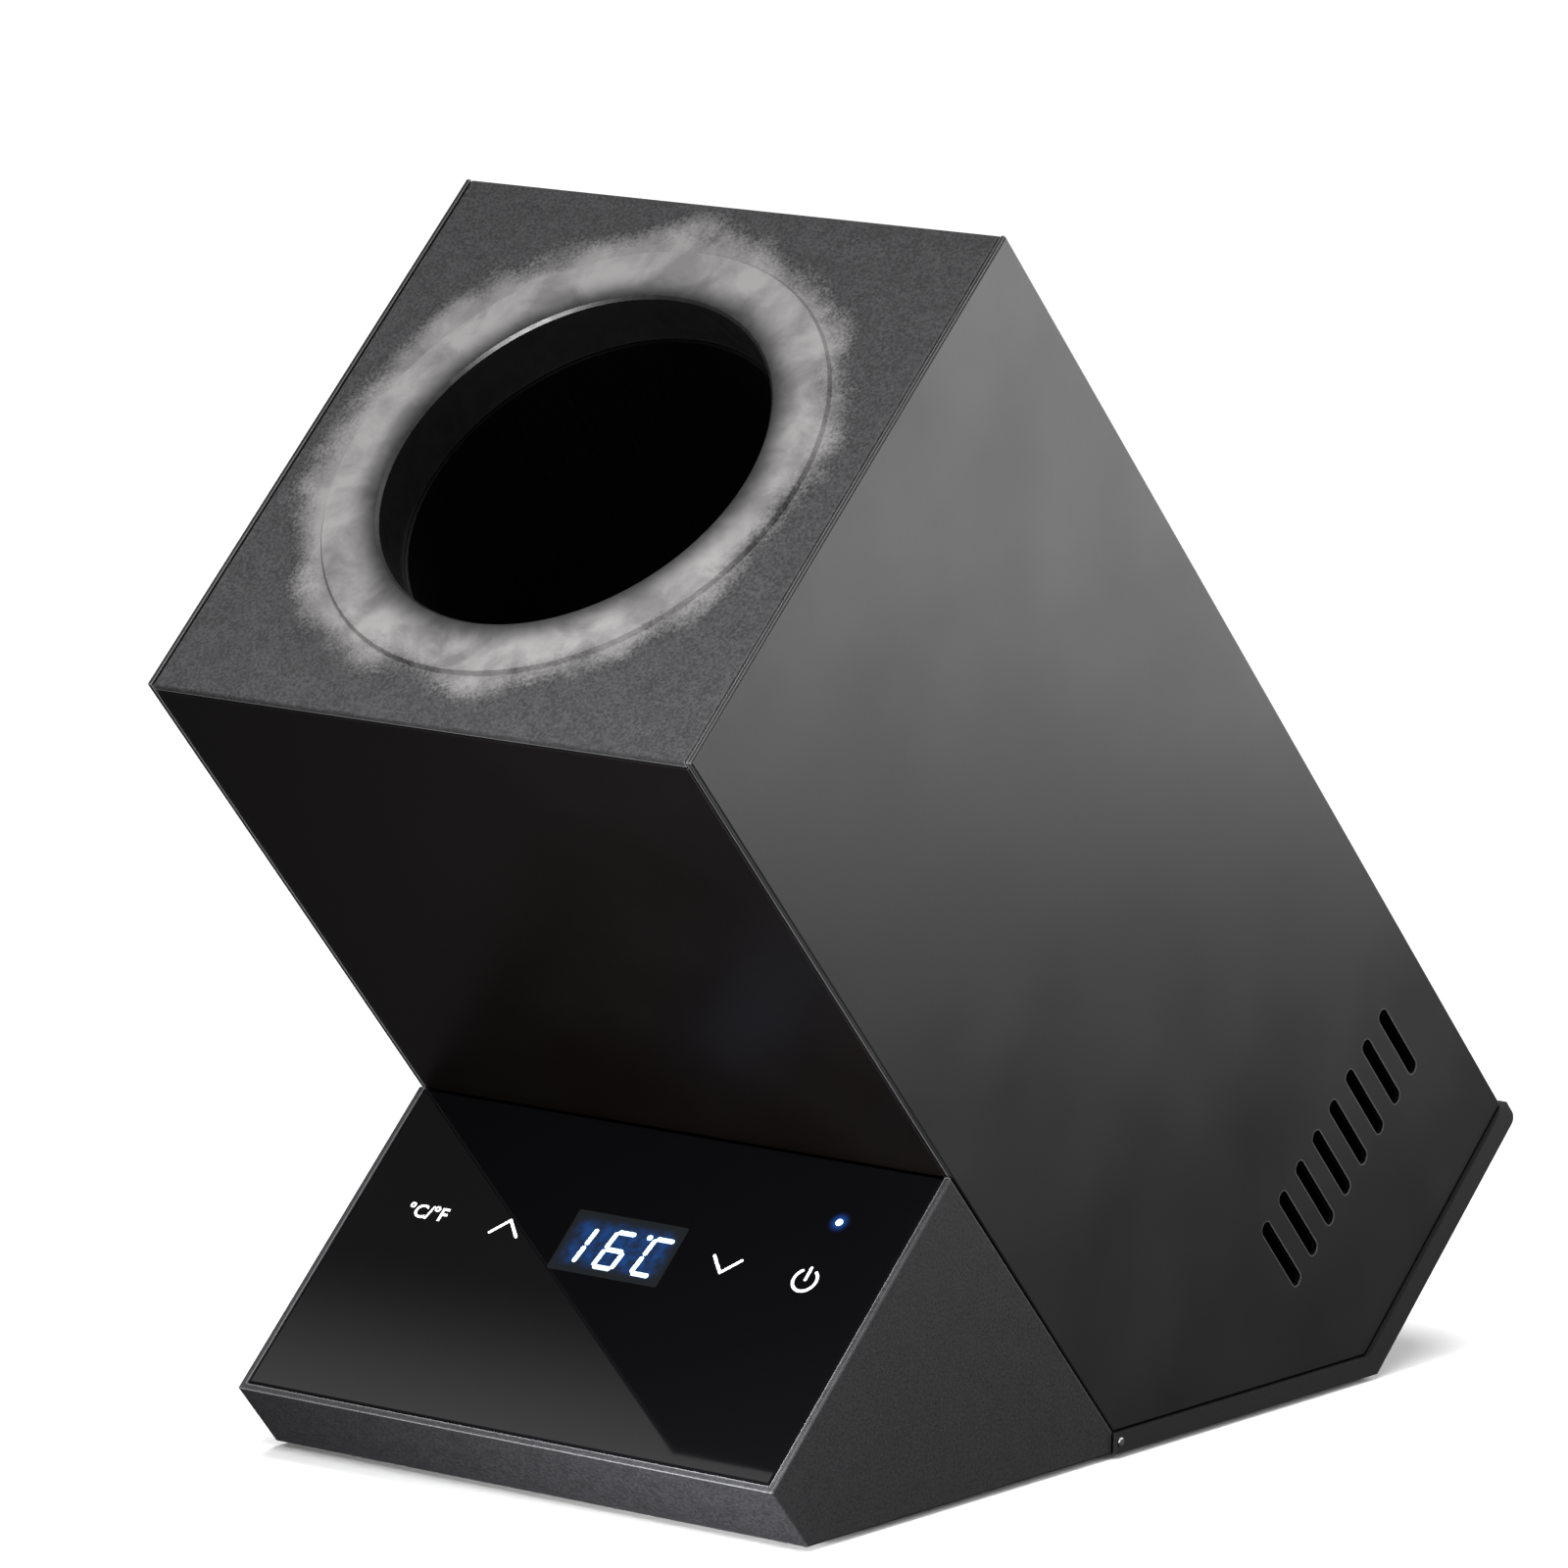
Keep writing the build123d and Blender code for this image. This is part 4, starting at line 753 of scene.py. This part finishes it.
def addSegments():
    piece = beginFlat("displaySegments")
    for index, letters in enumerate(litBars):
        for letter in letters:
            start, end = [cellPoint(corner, index) for corner in barEnds[letter]]
            inset = (end - start).normalized() * display["gap"]
            addStroke(start + inset, end - inset, display["bar"], display["barSides"])
    dot = cellPoint((0, 2), 2) + Vector((display["dotX"], 0))
    addStroke(dot, dot + Vector((display["dotLong"], 0)), display["dot"], display["dotSides"])
    endFlat(piece, display["thick"])
    standOnCase(piece, *onGlass(display["place"], display["lift"]))
    finishPiece(piece, "displaySegments", "cabinet", finishes["segment"])


# painted glow: the cover emits blue round the lit bars and dim grey towards its edges
def makeTintedWindow():
    material, tree, surface, coords = newMaterial("tintedDisplayCover", {
        "Base Color": srgb(window["cover"]), "Roughness": window["roughness"], "Emission Strength": 1.0})
    local = addNode(tree, "VectorMath", {"operation": "SUBTRACT"}, {
        0: coords, 1: toCase(*onGlass(window["place"]))})
    upright = addNode(tree, "VectorRotate", {"rotation_type": "X_AXIS"}, {
        "Vector": local.outputs[0], "Angle": -leanAngle})
    split = addNode(tree, "SeparateXYZ", sockets={0: upright.outputs[0]})
    fades = []
    for side, size, share in zip("XY", window["size"], (window["fadeX"], window["fadeY"])):
        away = addNode(tree, "Math", {"operation": "ABSOLUTE"}, {0: split.outputs[side]})
        half = size / 2 * mm
        fade = addNode(tree, "MapRange", {"interpolation_type": "SMOOTHSTEP"}, {
            "Value": away.outputs[0], **spread(half * share[0], half * share[1], 1.0, 0.0)})
        fades.append(fade.outputs["Result"])
    patches = addNode(tree, "TexNoise", sockets={
        "Vector": coords, "Scale": perMm(window["blotch"]), "Detail": 3.0})
    blotch = addNode(tree, "MapRange", sockets={
        "Value": patches.outputs["Fac"], **spread(0.35, 0.65, window["faintest"], 1.0)})
    middle = addNode(tree, "Math", {"operation": "MULTIPLY"}, {0: fades[0], 1: fades[1]})
    glow = addNode(tree, "Math", {"operation": "MULTIPLY"}, {
        0: middle.outputs[0], 1: blotch.outputs["Result"]})
    tone = addNode(tree, "Mix", {"data_type": "RGBA"}, {
        0: glow.outputs[0], 6: srgb(window["border"]), 7: srgb(window["glow"])})
    feed(tree, surface, {"Emission Color": tone.outputs[2]})
    return material


def addWindow():
    startClean()
    bpy.ops.mesh.primitive_plane_add(size=1)
    piece = bpy.context.object
    width, height = window["size"]
    piece.scale = (width * mm, height * mm, 1)
    applyPlace(piece)
    bpy.ops.object.mode_set(mode="EDIT")
    bpy.ops.mesh.select_all(action="SELECT")
    bpy.ops.mesh.bevel(offset=window["corner"] * mm, segments=window["cornerSteps"], affect="VERTICES")
    endFlat(piece, window["thick"])
    standOnCase(piece, *onGlass(window["place"], window["lift"]))
    finishPiece(piece, "displayWindow", "cabinet", makeTintedWindow())


# the status light: a bright disc, and its light spread in the glass, gone within a few millimetres
spot = {"radius": 0.85, "edge": 0.25, "sides": 48, "thick": 0.03, "lift": 0.02}
halo = {
    "radius": 3.6, "edge": 0.4, "sides": 48, "thick": 0.01, "lift": 0.004,
    "glass": "#050506", "roughness": 0.05, "glow": "#1a4c9c",
    "fullTo": 0.5, "goneAt": 3.4, "falloff": 2.2,           # mm, mm, power
}


def makeLedHalo():
    material, tree, surface, coords = newMaterial("haloInGlass", {
        "Base Color": srgb(halo["glass"]), "Roughness": halo["roughness"], "Emission Strength": 1.0})
    apart = addNode(tree, "VectorMath", {"operation": "DISTANCE"}, {
        0: coords, 1: toCase(*onGlass(panel["ledPlace"]))})
    fade = addNode(tree, "MapRange", {"interpolation_type": "SMOOTHSTEP"}, {
        "Value": apart.outputs["Value"], **spread(halo["fullTo"] * mm, halo["goneAt"] * mm, 1.0, 0.0)})
    soft = addNode(tree, "Math", {"operation": "POWER"}, {0: fade.outputs["Result"], 1: halo["falloff"]})
    tone = addNode(tree, "Mix", {"data_type": "RGBA"}, {
        0: soft.outputs[0], 6: srgb("#000000"), 7: srgb(halo["glow"])})
    feed(tree, surface, {"Emission Color": tone.outputs[2]})
    return material


def addDisc(name, disc, material):
    startClean()
    bpy.ops.mesh.primitive_circle_add(vertices=disc["sides"], radius=disc["radius"] * mm, fill_type="NGON")
    piece = bpy.context.object
    bpy.ops.object.mode_set(mode="EDIT")
    bpy.ops.mesh.select_all(action="SELECT")
    bpy.ops.mesh.inset(thickness=disc["edge"] * mm)
    endFlat(piece, disc["thick"])
    standOnCase(piece, *onGlass(panel["ledPlace"], disc["lift"]))
    finishPiece(piece, name, "cabinet", material)


addWindow()
addSegments()
addDisc("ledHalo", halo, makeLedHalo())
addDisc("ledSpot", spot, finishes["led"])
print("display and light made")

# studio: a pale floor and soft lights; the case reflects the dim room and its softboxes
studio = {
    "floorSize": 60.0, "floorWave": 400.0,                  # metres, mm
    "floor": "#f2f2f2", "floorPaler": "#f7f7f7", "floorRoughness": 0.9, "floorSpecular": 0.1,
    "roomStrength": 0.1, "sunStrength": 3.6, "sunAngle": 46,
}
# a graded card over the left, seen in the glass and broadly in the top: bright low, dark high
card = {
    "height": 0.4, "x": (-0.62, -0.12), "depth": (0.0, 0.30),   # metres over the glass, on the case's axes
    "brightTo": 0.13, "darkFrom": 0.205, "strength": 1.15,      # metres along the depth
}
# one gives the side its fade from top to bottom, one the lip its fade from right to left, one the top's front
softboxes = {
    "rearRight": {
        "place": (0.42, 0.38, 0.32), "aim": (0.07, -0.02, 0.32), "size": (0.8, 0.52), "watts": 4.5},
    "frontLow": {
        "place": (0.072, -0.24, 0.014), "aim": (0.07, -0.15, 0.014), "size": (0.05, 0.02), "watts": 1.05},
    "frontTop": {
        "place": (0.06, -0.34, 0.30), "aim": (0.03, -0.15, 0.21), "size": (0.12, 0.12), "watts": 1.35},
}


def makeFloor():
    startClean()
    bpy.ops.mesh.primitive_plane_add(size=studio["floorSize"])
    floor = bpy.context.object
    floor.name = "floor"
    material, tree, surface, coords = newMaterial("matteWhiteFloor", {
        "Roughness": studio["floorRoughness"], "Specular IOR Level": studio["floorSpecular"]})
    wave = addNode(tree, "TexNoise", sockets={"Vector": coords, "Scale": perMm(studio["floorWave"])})
    tone = addNode(tree, "Mix", {"data_type": "RGBA"}, {
        0: wave.outputs["Fac"], 6: srgb(studio["floor"]), 7: srgb(studio["floorPaler"])})
    feed(tree, surface, {"Base Color": tone.outputs[2]})
    floor.data.materials.append(material)
    floor.visible_glossy = False
    floor.visible_diffuse = False


def makeCard():
    startClean()
    bpy.ops.mesh.primitive_plane_add(size=1)
    piece = bpy.context.object
    piece.name = "gradedCard"
    (xLow, xHigh), (near, far) = card["x"], card["depth"]
    piece.scale = (xHigh - xLow, far - near, 1)
    applyPlace(piece)
    standOnCase(piece, (xLow + xHigh) / 2, (near + far) / 2, glassTop + card["height"])
    material, tree, surface, coords = newMaterial("gradedCardGlow", {
        "Base Color": srgb("#000000"), "Emission Color": srgb("#ffffff")})
    along = addNode(tree, "VectorMath", {"operation": "DOT_PRODUCT"}, {0: coords, 1: depthAxis})
    fade = addNode(tree, "MapRange", {"interpolation_type": "SMOOTHSTEP"}, {
        "Value": along.outputs["Value"],
        **spread(card["brightTo"], card["darkFrom"], card["strength"], studio["roomStrength"])})
    feed(tree, surface, {"Emission Strength": fade.outputs["Result"]})
    piece.data.materials.append(material)
    piece.visible_camera = False
    piece.visible_shadow = False


def makeWorld():
    world = bpy.data.worlds.new("studio")
    world.use_nodes = True
    background = world.node_tree.nodes["Background"]
    background.inputs["Color"].default_value = srgb("#ffffff")
    background.inputs["Strength"].default_value = studio["roomStrength"]
    bpy.context.scene.world = world


def makeSun():
    data = bpy.data.lights.new("overhead", "SUN")
    data.energy = studio["sunStrength"]
    data.angle = math.radians(studio["sunAngle"])
    sun = bpy.data.objects.new("overhead", data)
    bpy.context.scene.collection.objects.link(sun)


def makeSoftbox(name, settings):
    data = bpy.data.lights.new(name, "AREA")
    data.shape = "RECTANGLE"
    data.size, data.size_y = settings["size"]
    data.energy = settings["watts"]
    light = bpy.data.objects.new(name, data)
    bpy.context.scene.collection.objects.link(light)
    place = Vector(settings["place"])
    turn = (Vector(settings["aim"]) - place).to_track_quat("-Z", "Y").to_matrix().to_4x4()
    light.matrix_world = Matrix.Translation(place) @ turn
    light.visible_camera = False


makeFloor()
makeCard()
makeWorld()
makeSun()
for lightName, lightSettings in softboxes.items():
    makeSoftbox(lightName, lightSettings)
bpy.context.scene.view_settings.view_transform = "Standard"
print("studio lit")
